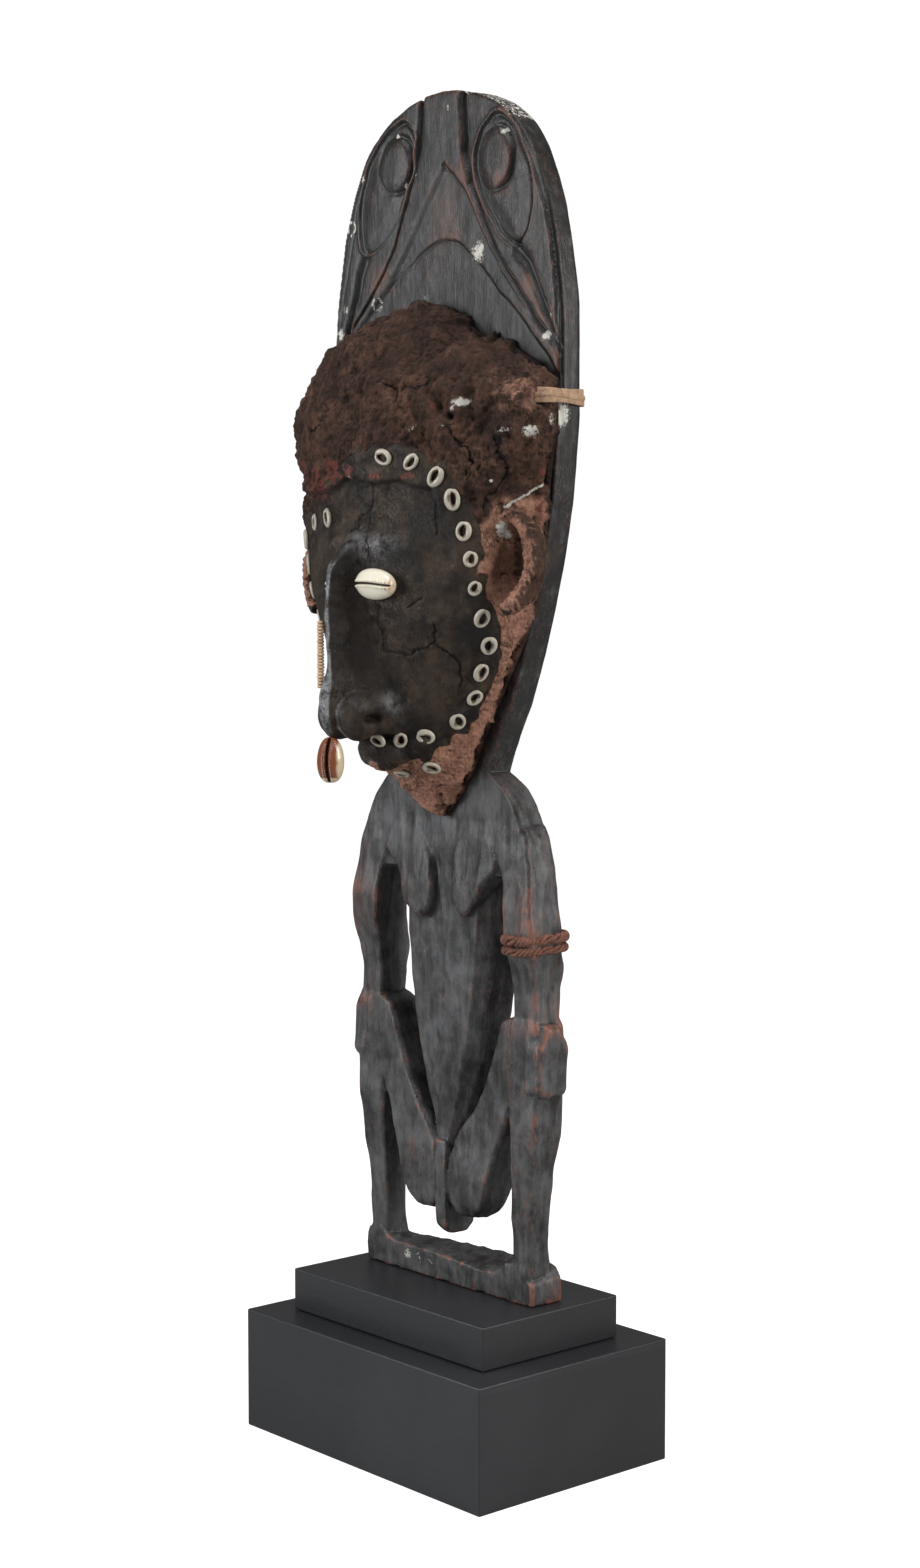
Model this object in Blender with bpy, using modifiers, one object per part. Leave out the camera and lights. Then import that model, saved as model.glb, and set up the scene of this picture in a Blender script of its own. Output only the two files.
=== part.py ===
"""A carved wooden ancestor figure with a tall head board and a modelled paste face, on a two-step plinth.

Metres, +Z up. The figure faces -Y, its left side is +X, and the origin is at the centre of the
plinth's underside. Each separate piece is one object in the collection "sepik_figure".
"""

import bmesh
import bpy
import numpy as np
from mathutils import Matrix, Vector
from mathutils.bvhtree import BVHTree

# Plinth, a low block with a smaller one on it
PLINTH_LOWER = (0.2000, 0.1380, 0.0680)
PLINTH_UPPER = (0.1620, 0.0990, 0.0237)
PLINTH_EDGE = 0.0008
GAP = 0.0003
SLIVER = 0.00008
FOOT_LEVEL = PLINTH_LOWER[2] + PLINTH_UPPER[2] + 2 * GAP

# Head board: half its width at each height, and its two faces
BOARD_OUTLINE = (
    (0.370, 0.0355), (0.384, 0.0408), (0.396, 0.0460), (0.420, 0.0582), (0.452, 0.0700), (0.490, 0.0812),
    (0.530, 0.0893), (0.580, 0.0933), (0.620, 0.0929), (0.655, 0.0884), (0.682, 0.0822), (0.704, 0.0738), (0.722, 0.0625),
    (0.735, 0.0470), (0.743, 0.0290), (0.747, 0.0110), (0.748, 0.0000),
)
BOARD_FRONT = -0.0080
BOARD_BACK = 0.0088
GROOVE = 0.0014

# Shoulders, limbs and body: height, inner and outer edge across, front and back
YOKE = (
    (0.3265, 0.0, 0.0700, -0.0101, 0.0144), (0.341, 0.0, 0.0676, -0.0093, 0.0144),
    (0.350, 0.0, 0.0652, -0.0084, 0.0144), (0.3540, 0.0, 0.0639, -0.0078, 0.0143),
    (0.361, 0.0, 0.0605, -0.0078, 0.0141), (0.367, 0.0, 0.0563, -0.0078, 0.0136),
    (0.3735, 0.0, 0.0505, -0.0078, 0.0128), (0.3795, 0.0, 0.0418, -0.0078, 0.0110),
)
ARM = (
    (0.336, 0.0440, 0.0684, -0.0098, 0.0142), (0.320, 0.0515, 0.0714, -0.0108, 0.0150),
    (0.305, 0.0533, 0.0738, -0.0117, 0.0158), (0.297, 0.0538, 0.0745, -0.0117, 0.0162),
    (0.286, 0.0543, 0.0734, -0.0098, 0.0172), (0.274, 0.0548, 0.0719, -0.0071, 0.0198),
    (0.262, 0.0557, 0.0711, -0.0056, 0.0176), (0.250, 0.0558, 0.0716, -0.0052, 0.0166),
    (0.238, 0.0550, 0.0720, -0.0052, 0.0160),
)
SHIN = (
    (0.2485, 0.0535, 0.0722, -0.0056, 0.0150), (0.2440, 0.0455, 0.0744, -0.0062, 0.0166),
    (0.2200, 0.0500, 0.0745, -0.0066, 0.0168), (0.1960, 0.0533, 0.0743, -0.0070, 0.0167),
    (0.1730, 0.0533, 0.0718, -0.0061, 0.0146), (0.1500, 0.0530, 0.0688, -0.0048, 0.0139),
    (0.1270, 0.0524, 0.0669, -0.0040, 0.0130), (0.1040, 0.0520, 0.0672, -0.0041, 0.0150),
)
THIGH = (
    (0.2462, 0.0500, 0.0620, -0.0054, 0.0150), (0.2414, 0.0450, 0.0620, -0.0060, 0.0155),
    (0.2067, 0.0312, 0.0560, -0.0062, 0.0155), (0.1900, 0.0200, 0.0500, -0.0066, 0.0152),
    (0.1787, 0.0110, 0.0462, -0.0070, 0.0148), (0.1640, 0.0048, 0.0410, -0.0078, 0.0145),
    (0.1494, 0.0028, 0.0357, -0.0083, 0.0138), (0.1400, 0.0040, 0.0318, -0.0077, 0.0130),
    (0.1345, 0.0080, 0.0268, -0.0062, 0.0112), (0.1318, 0.0125, 0.0220, -0.0035, 0.0090),
)
TORSO = (
    (0.3350, 0.0, 0.0440, -0.0075, 0.0135), (0.3290, 0.0, 0.0415, -0.0073, 0.0142),
    (0.3180, 0.0, 0.0365, -0.0072, 0.0158), (0.3000, 0.0, 0.0338, -0.0072, 0.0176),
    (0.2800, 0.0, 0.0326, -0.0075, 0.0186), (0.2520, 0.0, 0.0291, -0.0076, 0.0188),
    (0.2280, 0.0, 0.0245, -0.0074, 0.0184), (0.2000, 0.0, 0.0172, -0.0070, 0.0164),
    (0.1822, 0.0, 0.0118, -0.0066, 0.0140), (0.1700, 0.0, 0.0080, -0.0068, 0.0122),
)
LIMB_CHAMFER = 0.0022
TORSO_CHAMFER = 0.0050
TORSO_FLARE = 0.0062
BREAST_OUTLINE = (
    (0.0440, 0.3345), (0.0363, 0.3218), (0.0270, 0.3095), (0.0190, 0.3005), (0.0150, 0.3012), (0.0112, 0.3080),
    (0.0093, 0.3180), (0.0095, 0.3280), (0.0125, 0.3400), (0.0210, 0.3490), (0.0360, 0.3480),
)
BREAST_FRONT = -0.0107
TAB_SIZE = (0.0082, 0.0215, 0.0532)
TAB_CENTRE = (0.0, 0.0020, 0.1469)
FOOT_BAR_FACES = (-0.0044, 0.0178)
HAND_OUTLINE = ((-0.0060, 0.2390), (-0.0082, 0.2100), (0.0148, 0.2088), (0.0142, 0.2345), (0.0072, 0.2452))
HAND_FACES = (0.0680, 0.0790)
RIGHT_HAND_RAISE = 0.0042

# Foot bar: place across, then the height of its top at the front and at the back
FOOT_BAR = (
    (-0.0702, 0.1080, 0.1030), (-0.0684, 0.1124, 0.1048), (-0.0606, 0.1133, 0.1060), (-0.0530, 0.1105, 0.1068),
    (-0.0453, 0.1076, 0.1075), (-0.0160, 0.1072, 0.1094), (0.0030, 0.1066, 0.1101), (0.0279, 0.1049, 0.1112),
    (0.0378, 0.1057, 0.1116), (0.0450, 0.1100, 0.1120), (0.0508, 0.1134, 0.1122), (0.0605, 0.1122, 0.1120),
    (0.0664, 0.1058, 0.1108), (0.0700, 0.1040, 0.1052),
)

# Modelled head: height, half its width where it meets the board, and how far it stands out
HEAD_LEVELS = (
    (0.3545, 0.0070, 0.0045), (0.3600, 0.0135, 0.0095), (0.3680, 0.0205, 0.0165), (0.3750, 0.0255, 0.0235),
    (0.3830, 0.0305, 0.0345), (0.3920, 0.0352, 0.0420), (0.4010, 0.0400, 0.0455), (0.4150, 0.0485, 0.0500),
    (0.4310, 0.0578, 0.0545), (0.4500, 0.0690, 0.0580), (0.4700, 0.0790, 0.0610), (0.4900, 0.0842, 0.0630),
    (0.5100, 0.0865, 0.0630), (0.5300, 0.0880, 0.0640), (0.5500, 0.0895, 0.0645), (0.5700, 0.0912, 0.0612),
    (0.5870, 0.0915, 0.0560), (0.6000, 0.0880, 0.0500), (0.6110, 0.0775, 0.0430), (0.6200, 0.0610, 0.0350),
    (0.6270, 0.0430, 0.0265), (0.6320, 0.0245, 0.0170), (0.6340, 0.0100, 0.0080),
)
HEAD_BACK = BOARD_FRONT - GAP
HEAD_COLUMNS = 26
TEMPLE_SWELL = (0.0100, 0.566, 0.024)
NOSE_LEVELS = (
    (0.5060, 0.0060, -0.0745), (0.4950, 0.0085, -0.0830), (0.4800, 0.0105, -0.0875), (0.4550, 0.0120, -0.0872),
    (0.4350, 0.0130, -0.0862), (0.4220, 0.0130, -0.0880), (0.4130, 0.0110, -0.0890), (0.4060, 0.0080, -0.0860),
)
NOSE_ROOT = -0.0380
NOSE_TIP = ((0.0, -0.0832, 0.4140), (0.0072, 0.0105, 0.0124))
NOSE_WING = ((0.0128, -0.0722, 0.4138), (0.0116, 0.0140, 0.0118))
MOUTH = ((0.0, -0.0450, 0.3935), (0.0185, 0.0150, 0.0125))
EAR_LINE = (
    (0.0840, -0.0320, 0.5160), (0.0895, -0.0280, 0.5100), (0.0925, -0.0255, 0.5030), (0.0935, -0.0262, 0.4950),
    (0.0925, -0.0280, 0.4860), (0.0880, -0.0308, 0.4765), (0.0815, -0.0330, 0.4705),
)
EAR_RADIUS = 0.0054

# Ring-cut shells, as (across, height) on the face: the wearer's left border, then the right one
SHELL_SIZE = (0.0047, 0.0062, 0.0030)
LEFT_SHELLS = (
    (0.0255, 0.5478), (0.0426, 0.5449), (0.0545, 0.5375), (0.0618, 0.5256), (0.0655, 0.5091), (0.0678, 0.4947),
    (0.0676, 0.4798), (0.0668, 0.4640), (0.0637, 0.4500), (0.0563, 0.4356), (0.0490, 0.4220), (0.0398, 0.4092),
    (0.0268, 0.4012), (0.0163, 0.3998), (0.0070, 0.4012), (0.0215, 0.3836), (0.0030, 0.3800),
)
RIGHT_SHELLS = (
    (0.0280, 0.5176), (0.0469, 0.5159), (0.0600, 0.5070), (0.0675, 0.4935), (0.0678, 0.4790), (0.0660, 0.4645),
    (0.0632, 0.4500), (0.0562, 0.4352), (0.0490, 0.4215), (0.0398, 0.4090), (0.0275, 0.4015),
)
SHELL_LIFT = 0.0004
FOOTPRINT_RINGS = (0.0, 0.4, 0.75, 1.0)
FOOTPRINT_RAYS = 16
RAY_REACH = 0.03
EYE_SHELL = ((0.0222, 0.4824), (0.0140, 0.0078, 0.0052))

# What hangs and what ties
PENDANT = ((0.0004, -0.0862, 0.3888), (0.0070, 0.0062, 0.0120))
STRAND_TOP = (-0.0062, -0.0882, 0.4625)
STRAND_DISCS = 13
STRAND_PITCH = 0.0028
STRAND_RADIUS = 0.0019
TIE_LINE = (
    (0.0990, -0.0262), (0.0998, -0.0200), (0.0995, -0.0130), (0.0985, -0.0060), (0.0968, 0.0010),
    (0.0957, 0.0085), (0.0932, 0.0112), (0.0860, 0.0113),
)
TIE_HEIGHT = 0.5785
TIE_RADII = (0.0012, 0.0040)
BAND_HEIGHT = 0.2895
BAND_RADII = (0.0014, 0.0044)
BAND_CLEARANCE = 0.0005


def clear_scene():
    """Remove every object of the start-up scene."""
    for thing in list(bpy.data.objects):
        bpy.data.objects.remove(thing, do_unlink=True)


def new_collection(name, hidden=False):
    collection = bpy.data.collections.new(name)
    bpy.context.scene.collection.children.link(collection)
    collection.hide_render = hidden
    return collection


def new_material(name, colour, roughness, metallic=0.0):
    material = bpy.data.materials.new(name)
    material.use_nodes = True
    shader = material.node_tree.nodes["Principled BSDF"]
    shader.inputs["Base Color"].default_value = (*colour, 1.0)
    shader.inputs["Roughness"].default_value = roughness
    shader.inputs["Metallic"].default_value = metallic
    return material


def smooth_value(table, column, heights):
    """A value of a level table at any height, on a monotone cubic through its levels."""
    rows = np.array(sorted(table), float)
    z, v = rows[:, 0], rows[:, column]
    step, slope = np.diff(z), np.diff(v) / np.diff(z)
    tangent = np.zeros_like(v)
    same_way = slope[:-1] * slope[1:] > 0
    tangent[1:-1][same_way] = (2 * slope[:-1] * slope[1:] / (slope[:-1] + slope[1:] + 1e-30))[same_way]
    tangent[0], tangent[-1] = slope[0], slope[-1]
    i = np.clip(np.searchsorted(z, heights) - 1, 0, len(z) - 2)
    t = (heights - z[i]) / step[i]
    return (
        v[i] * (1 + 2 * t) * (1 - t) ** 2
        + v[i + 1] * t**2 * (3 - 2 * t)
        + step[i] * t * (1 - t) * (tangent[i] * (1 - t) - tangent[i + 1] * t)
    )


def add_mesh_object(name, mesh, collection, material=None):
    thing = bpy.data.objects.new(name, mesh)
    collection.objects.link(thing)
    if material:
        mesh.materials.append(material)
    return thing


def loft(name, rings, collection, material=None):
    """A closed solid through rings of equal length, with a flat cap on each end ring."""
    mesh = bpy.data.meshes.new(name)
    shape = bmesh.new()
    rows = [[shape.verts.new(point) for point in ring] for ring in rings]
    count = len(rows[0])
    for lower, upper in zip(rows, rows[1:]):
        for k in range(count):
            following = (k + 1) % count
            shape.faces.new((lower[k], lower[following], upper[following], upper[k]))
    shape.faces.new(rows[0][::-1])
    shape.faces.new(rows[-1])
    bmesh.ops.recalc_face_normals(shape, faces=shape.faces)
    shape.to_mesh(mesh)
    shape.free()
    return add_mesh_object(name, mesh, collection, material)


def chamfered_ring(left, right, front, back, height, chamfer, flare=0.0):
    """An eight-cornered section: a rectangle with its corners cut off, wider by the flare at its back."""
    cut = min(chamfer, 0.45 * (right - left), 0.45 * (back - front))
    return [
        (left + cut, front, height), (right - cut, front, height), (right, front + cut, height),
        (right + flare, back - cut, height), (right + flare - cut, back, height),
        (left - flare + cut, back, height), (left - flare, back - cut, height), (left, front + cut, height),
    ]


def limb(name, levels, side, chamfer, collection, flare=0.0):
    """A limb on one side (1 left, -1 right), or a whole body where side is 0."""
    rings = []
    for height, inner, outer, front, back in levels:
        if side == 0:
            left, right = -outer, outer
        else:
            left, right = sorted((side * inner, side * outer))
        rings.append(chamfered_ring(left, right, front, back, height, chamfer, flare))
    return loft(name, rings, collection)


def foot_bar(collection):
    """The bar between the feet, lofted across, with a hump over each foot and a top that tilts."""
    front, back = FOOT_BAR_FACES
    rings = [
        [(x, front, FOOT_LEVEL), (x, back, FOOT_LEVEL), (x, back, back_top), (x, front, front_top)]
        for x, front_top, back_top in FOOT_BAR
    ]
    return loft("foot_bar", rings, collection)


def plate(name, outline, near, far, collection, axis="Y"):
    """A flat outline given thickness: a filled 2D curve in (across, height), extruded, as a mesh."""
    curve = bpy.data.curves.new(name, "CURVE")
    curve.dimensions = "2D"
    curve.fill_mode = "BOTH"
    curve.extrude = (far - near) / 2
    spline = curve.splines.new("POLY")
    spline.points.add(len(outline) - 1)
    spline.use_cyclic_u = True
    for point, (across, height) in zip(spline.points, outline):
        point.co = (across, height, 0.0, 1.0)
    guide = bpy.data.objects.new(name, curve)
    collection.objects.link(guide)
    middle = (near + far) / 2
    if axis == "Y":
        placed = Matrix(((1, 0, 0, 0), (0, 0, 1, middle), (0, 1, 0, 0), (0, 0, 0, 1)))
    else:
        placed = Matrix(((0, 0, 1, middle), (1, 0, 0, 0), (0, 1, 0, 0), (0, 0, 0, 1)))
    guide.matrix_world = placed
    return curve_to_mesh(guide, collection)


def curve_to_mesh(guide, collection):
    """The mesh of a curve object, with its caps welded; the curve itself is removed."""
    bpy.context.view_layer.update()
    mesh = bpy.data.meshes.new_from_object(guide.evaluated_get(bpy.context.evaluated_depsgraph_get()))
    placed, name = guide.matrix_world.copy(), guide.name
    bpy.data.objects.remove(guide, do_unlink=True)
    shape = bmesh.new()
    shape.from_mesh(mesh)
    bmesh.ops.remove_doubles(shape, verts=shape.verts, dist=1e-6)
    bmesh.ops.transform(shape, matrix=placed, verts=shape.verts)
    bmesh.ops.recalc_face_normals(shape, faces=shape.faces)
    shape.to_mesh(mesh)
    shape.free()
    mesh.name = name
    return add_mesh_object(name, mesh, collection)


def tube(name, points, radii, collection, closed=False, sides=2):
    """A rod along points; where its two radii differ, it is flattened across and tall in Z."""
    across, tall = radii
    curve = bpy.data.curves.new(name, "CURVE")
    curve.dimensions = "3D"
    curve.bevel_depth = across
    curve.bevel_resolution = sides
    curve.use_fill_caps = not closed
    spline = curve.splines.new("POLY")
    spline.points.add(len(points) - 1)
    spline.use_cyclic_u = closed
    for point, place in zip(spline.points, points):
        point.co = (place[0], place[1], place[2] * across / tall, 1.0)
    guide = bpy.data.objects.new(name, curve)
    collection.objects.link(guide)
    guide.matrix_world = Matrix.Diagonal((1.0, 1.0, tall / across, 1.0))
    return curve_to_mesh(guide, collection)


def ellipsoid(name, centre, radii, collection, segments=12, rings=8, turn=None):
    mesh = bpy.data.meshes.new(name)
    shape = bmesh.new()
    bmesh.ops.create_uvsphere(shape, u_segments=segments, v_segments=rings, radius=1.0)
    placed = Matrix.Translation(centre) @ (turn or Matrix.Identity(4)) @ Matrix.Diagonal((*radii, 1.0))
    bmesh.ops.transform(shape, matrix=placed, verts=shape.verts)
    shape.to_mesh(mesh)
    shape.free()
    return add_mesh_object(name, mesh, collection)


def box(name, size, centre, collection, material=None, edge=0.0):
    mesh = bpy.data.meshes.new(name)
    shape = bmesh.new()
    bmesh.ops.create_cube(shape, size=1.0)
    bmesh.ops.scale(shape, vec=size, verts=shape.verts)
    bmesh.ops.translate(shape, vec=centre, verts=shape.verts)
    shape.to_mesh(mesh)
    shape.free()
    thing = add_mesh_object(name, mesh, collection, material)
    if edge:
        bevel = thing.modifiers.new("worn edge", "BEVEL")
        bevel.width = edge
        bevel.segments = 2
    return thing


def combine(base, others, operation):
    """Apply one Boolean for each other object, then remove the others."""
    for other in others:
        step = base.modifiers.new(operation.lower(), "BOOLEAN")
        step.operation = operation
        step.solver = "EXACT"
        step.object = other
        bpy.context.view_layer.update()
        mesh = bpy.data.meshes.new_from_object(base.evaluated_get(bpy.context.evaluated_depsgraph_get()))
        base.modifiers.remove(step)
        base.data = mesh
        bpy.data.objects.remove(other, do_unlink=True)
    shape = bmesh.new()
    shape.from_mesh(base.data)
    bmesh.ops.remove_doubles(shape, verts=shape.verts, dist=SLIVER)
    bmesh.ops.dissolve_degenerate(shape, edges=shape.edges, dist=SLIVER)
    bmesh.ops.triangulate(shape, faces=shape.faces)
    shape.to_mesh(base.data)
    shape.free()
    return base


def shade(thing, angle=0.6):
    thing.data.shade_smooth()
    thing.data.set_sharp_from_angle(angle=angle)


def board_half_width(height):
    return float(smooth_value(BOARD_OUTLINE, 1, np.array([height]))[0])


def board_outline():
    """The board's closed outline: up the left edge on the smooth width curve, and down the other."""
    top = BOARD_OUTLINE[-1][0]
    bottom = BOARD_OUTLINE[0][0]
    swing = np.linspace(0.0, np.pi / 2, 26)
    heights = bottom + (top - bottom) * np.sin(swing) ** 1.15
    halves = smooth_value(BOARD_OUTLINE, 1, heights)
    rising = [(half, height) for half, height in zip(halves, heights)][:-1]
    return rising + [(0.0, top)] + [(-half, height) for half, height in reversed(rising)]


def groove_lines():
    """The carved lines of the board's front on its left half, as (across, height) lists."""
    beak = [(0.0185, 0.741), (0.0175, 0.722), (0.0205, 0.705), (0.0270, 0.688), (0.0375, 0.667), (0.0520, 0.645),
            (0.0700, 0.622)]
    swing = np.linspace(0.0, 2 * np.pi, 17)[:-1]
    eye = [(0.0415 + 0.0130 * np.sin(t), 0.7105 + 0.0158 * np.cos(t)) for t in swing]
    swing = np.linspace(-0.35, np.pi, 12)
    lid = [(0.0440 + 0.0240 * np.sin(t), 0.6950 + 0.0335 * np.cos(t)) for t in swing]
    rim = [(board_half_width(z) - 0.0046, z) for z in np.linspace(0.618, 0.712, 9)]
    return {"beak": (beak, False), "eye": (eye, True), "lid": (lid, False), "rim": (rim, False)}


def carve_board(board, cutters):
    """Cut each groove on both halves of the front face."""
    for name, (line, closed) in groove_lines().items():
        for side in (1, -1):
            points = [(side * across, BOARD_FRONT, height) for across, height in line]
            cutter = tube(f"{name}_groove", points, (GROOVE, GROOVE * 1.001), cutters, closed, sides=1)
            combine(board, [cutter], "DIFFERENCE")


def make_figure(collection, cutters, material):
    """Board, shoulders, limbs, body and foot bar, which are one piece of wood."""
    figure = plate("carved_figure", board_outline(), BOARD_FRONT, BOARD_BACK, collection)
    carve_board(figure, cutters)
    parts = [limb("yoke", YOKE, 0, LIMB_CHAMFER, cutters)]
    parts.append(limb("torso", TORSO, 0, TORSO_CHAMFER, cutters, TORSO_FLARE))
    for side in (1, -1):
        parts.append(limb("arm", ARM, side, LIMB_CHAMFER * 1.3, cutters))
        parts.append(limb("shin", SHIN, side, LIMB_CHAMFER, cutters))
        parts.append(limb("thigh", THIGH, side, LIMB_CHAMFER * 1.2, cutters))
        breast = [(side * across, height) for across, height in BREAST_OUTLINE]
        parts.append(plate("breast", breast, BREAST_FRONT, 0.0, cutters))
        raised = RIGHT_HAND_RAISE if side < 0 else 0.0
        hand = [(along, height + raised) for along, height in HAND_OUTLINE]
        parts.append(plate("hand", hand, *sorted(side * face for face in HAND_FACES), cutters, axis="X"))
    parts.append(box("tab", TAB_SIZE, TAB_CENTRE, cutters))
    parts.append(foot_bar(cutters))
    combine(figure, parts, "UNION")
    figure.data.materials.clear()
    figure.data.materials.append(material)
    shade(figure, 0.5)
    return figure


def head_radius(angle, height):
    """How far the head's skin is from the board's centre line, at an angle from the wearer's left."""
    half = smooth_value(HEAD_LEVELS, 1, height)
    depth = smooth_value(HEAD_LEVELS, 2, height)
    plain = 1.0 / np.sqrt((np.cos(angle) / half) ** 2 + (np.sin(angle) / depth) ** 2)
    swell, middle, spread = TEMPLE_SWELL
    side = np.exp(-(((np.minimum(angle, np.pi - angle) - 0.22) / 0.20) ** 2))
    return plain + swell * side * np.exp(-(((height - middle) / spread) ** 2))


def head_point(across, height):
    """The point of the skin in front of (across, height), and the way out of the skin there."""
    angles = np.linspace(0.02, np.pi - 0.02, 900)
    radius = head_radius(angles, np.full_like(angles, height))
    k = int(np.argmin(np.abs(radius * np.cos(angles) - across)))

    def place(angle, level):
        reach = float(head_radius(np.array([angle]), np.array([level]))[0])
        return Vector((reach * np.cos(angle), HEAD_BACK - reach * np.sin(angle), level))

    here = place(angles[k], height)
    along = place(angles[k] + 0.02, height) - place(angles[k] - 0.02, height)
    rise = place(angles[k], height + 0.001) - place(angles[k], height - 0.001)
    outward = along.cross(rise).normalized()
    if outward.dot(here - Vector((0.0, 0.0, height))) < 0:
        outward.negate()
    return here, outward


def make_head(collection, cutters, material):
    """The paste head: a lofted mask with a nose, mouth and ears, one solid."""
    angles = np.linspace(0.0, np.pi, HEAD_COLUMNS)
    rings = []
    for height, _, _ in HEAD_LEVELS:
        radius = head_radius(angles, np.full_like(angles, height))
        rings.append([(r * np.cos(t), HEAD_BACK - r * np.sin(t), height) for r, t in zip(radius, angles)])
    head = loft("modelled_head", rings, collection)
    nose_rings = []
    for height, half, ridge in NOSE_LEVELS:
        nose_rings.append([
            (-half, NOSE_ROOT, height), (half, NOSE_ROOT, height), (half * 0.72, ridge + 0.012, height),
            (half * 0.22, ridge + 0.0015, height), (0.0, ridge, height), (-half * 0.22, ridge + 0.0015, height),
            (-half * 0.72, ridge + 0.012, height),
        ])
    parts = [loft("nose", nose_rings, cutters)]
    parts.append(ellipsoid("nose_tip", *NOSE_TIP, cutters, 10, 7))
    parts.append(ellipsoid("mouth", *MOUTH, cutters, 12, 8))
    for side in (1, -1):
        (across, front, height), radii = NOSE_WING
        parts.append(ellipsoid("nose_wing", (side * across, front, height), radii, cutters, 10, 7))
        ear = [(side * x, y, z) for x, y, z in EAR_LINE]
        parts.append(tube("ear", ear, (EAR_RADIUS, EAR_RADIUS * 1.001), cutters, sides=1))
    combine(head, parts, "UNION")
    head.data.materials.clear()
    head.data.materials.append(material)
    shade(head, 0.7)
    return head


def facing(outward):
    """A turn that lays a piece's Y along the way out of the skin, and keeps its Z near upright."""
    upright = Vector((0.0, 0.0, 1.0))
    across = outward.cross(upright).normalized()
    rise = across.cross(outward).normalized()
    return Matrix((across, outward, rise)).transposed().to_4x4()


def ring_shell_mesh():
    """One ring-cut shell, an oval ring in its own X and Z."""
    mesh = bpy.data.meshes.new("ring_cut_shell")
    shape = bmesh.new()
    half_x, half_z, thick = SHELL_SIZE
    wall = thick / 2
    turns, around = 8, 4
    grid = []
    for i in range(turns):
        swing = 2 * np.pi * i / turns
        row = []
        for j in range(around):
            roll = 2 * np.pi * (j + 0.5) / around
            ring_x = half_x - wall + wall * np.cos(roll)
            ring_z = half_z - wall + wall * np.cos(roll)
            row.append(shape.verts.new((ring_x * np.cos(swing), wall * np.sin(roll), ring_z * np.sin(swing))))
        grid.append(row)
    for i in range(turns):
        for j in range(around):
            a, b = grid[i], grid[(i + 1) % turns]
            shape.faces.new((a[j], b[j], b[(j + 1) % around], a[(j + 1) % around]))
    bmesh.ops.recalc_face_normals(shape, faces=shape.faces)
    shape.to_mesh(mesh)
    shape.free()
    mesh.shade_smooth()
    return mesh


def rest_on(skin, across, height, half_x, half_z, depth):
    """The placing of an oval piece laid on the head, so that no part of its back touches the skin."""
    base, outward = head_point(across, height)
    turn = facing(outward)
    highest = 0.0
    for share in FOOTPRINT_RINGS:
        for swing in np.linspace(0.0, 2 * np.pi, FOOTPRINT_RAYS, endpoint=False):
            offset = turn @ Vector((share * half_x * np.cos(swing), 0.0, share * half_z * np.sin(swing)))
            hit = skin.ray_cast(base + offset + outward * RAY_REACH, -outward, 2 * RAY_REACH)[0]
            if hit is not None:
                highest = max(highest, (hit - base).dot(outward))
    return Matrix.Translation(base + outward * (highest + depth + SHELL_LIFT)) @ turn


def place_shells(collection, material, skin):
    """The border shells of both cheeks and the lip, each its own object on one shared mesh."""
    mesh = ring_shell_mesh()
    mesh.materials.append(material)
    half_x, half_z, thick = SHELL_SIZE
    for label, side, places in (("left", 1, LEFT_SHELLS), ("right", -1, RIGHT_SHELLS)):
        for number, (across, height) in enumerate(places, start=1):
            shell = bpy.data.objects.new(f"border_shell_{label}_{number:02d}", mesh)
            collection.objects.link(shell)
            shell.matrix_world = rest_on(skin, side * across, height, half_x, half_z, thick / 2)


def place_eyes(collection, material, skin):
    (across, height), (half_x, half_z, depth) = EYE_SHELL
    for label, side in (("left", 1), ("right", -1)):
        placed = rest_on(skin, side * across, height, half_x / 2, half_z / 2, depth)
        radii = (half_x, depth, half_z)
        eye = ellipsoid(f"eye_cowrie_{label}", placed.to_translation(), radii, collection, 12, 8,
                        placed.to_3x3().to_4x4())
        eye.data.materials.append(material)
        eye.data.shade_smooth()


def place_hangings(collection, shell, cord):
    """The cowrie below the nose, and the strand of touching disc beads beside it."""
    pendant = ellipsoid("nose_pendant_cowrie", *PENDANT, collection, 12, 9)
    pendant.data.materials.append(shell)
    pendant.data.shade_smooth()
    rings = []
    x, y, top = STRAND_TOP
    for disc in range(STRAND_DISCS):
        for share, radius in ((0.0, 0.62), (0.3, 1.0), (0.75, 1.0)):
            reach, height = STRAND_RADIUS * radius, top - (disc + share) * STRAND_PITCH
            swing = np.linspace(0.0, 2 * np.pi, 9)[:-1]
            rings.append([(x + reach * np.cos(t), y + reach * np.sin(t), height) for t in swing])
    strand = loft("nose_bead_strand", rings, collection, cord)
    shade(strand)


def place_tie(collection, material):
    """The cane tie that holds the head to the board's left edge."""
    points = [(x, y, TIE_HEIGHT) for x, y in TIE_LINE]
    tie = tube("cane_tie", points, TIE_RADII, collection, sides=1)
    tie.data.materials.append(material)
    shade(tie)


def place_armband(collection, material):
    """A flat band round the figure's left arm, on the arm's own section."""
    heights = np.array([BAND_HEIGHT])
    inner, outer, front, back = (float(smooth_value(ARM, column, heights)[0]) for column in (1, 2, 3, 4))
    reach = BAND_RADII[0] + BAND_CLEARANCE
    ring = chamfered_ring(inner - reach, outer + reach, front - reach, back + reach, BAND_HEIGHT, 0.0024)
    band = tube("plaited_armband", ring, BAND_RADII, collection, closed=True, sides=1)
    band.data.materials.append(material)
    shade(band)


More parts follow.
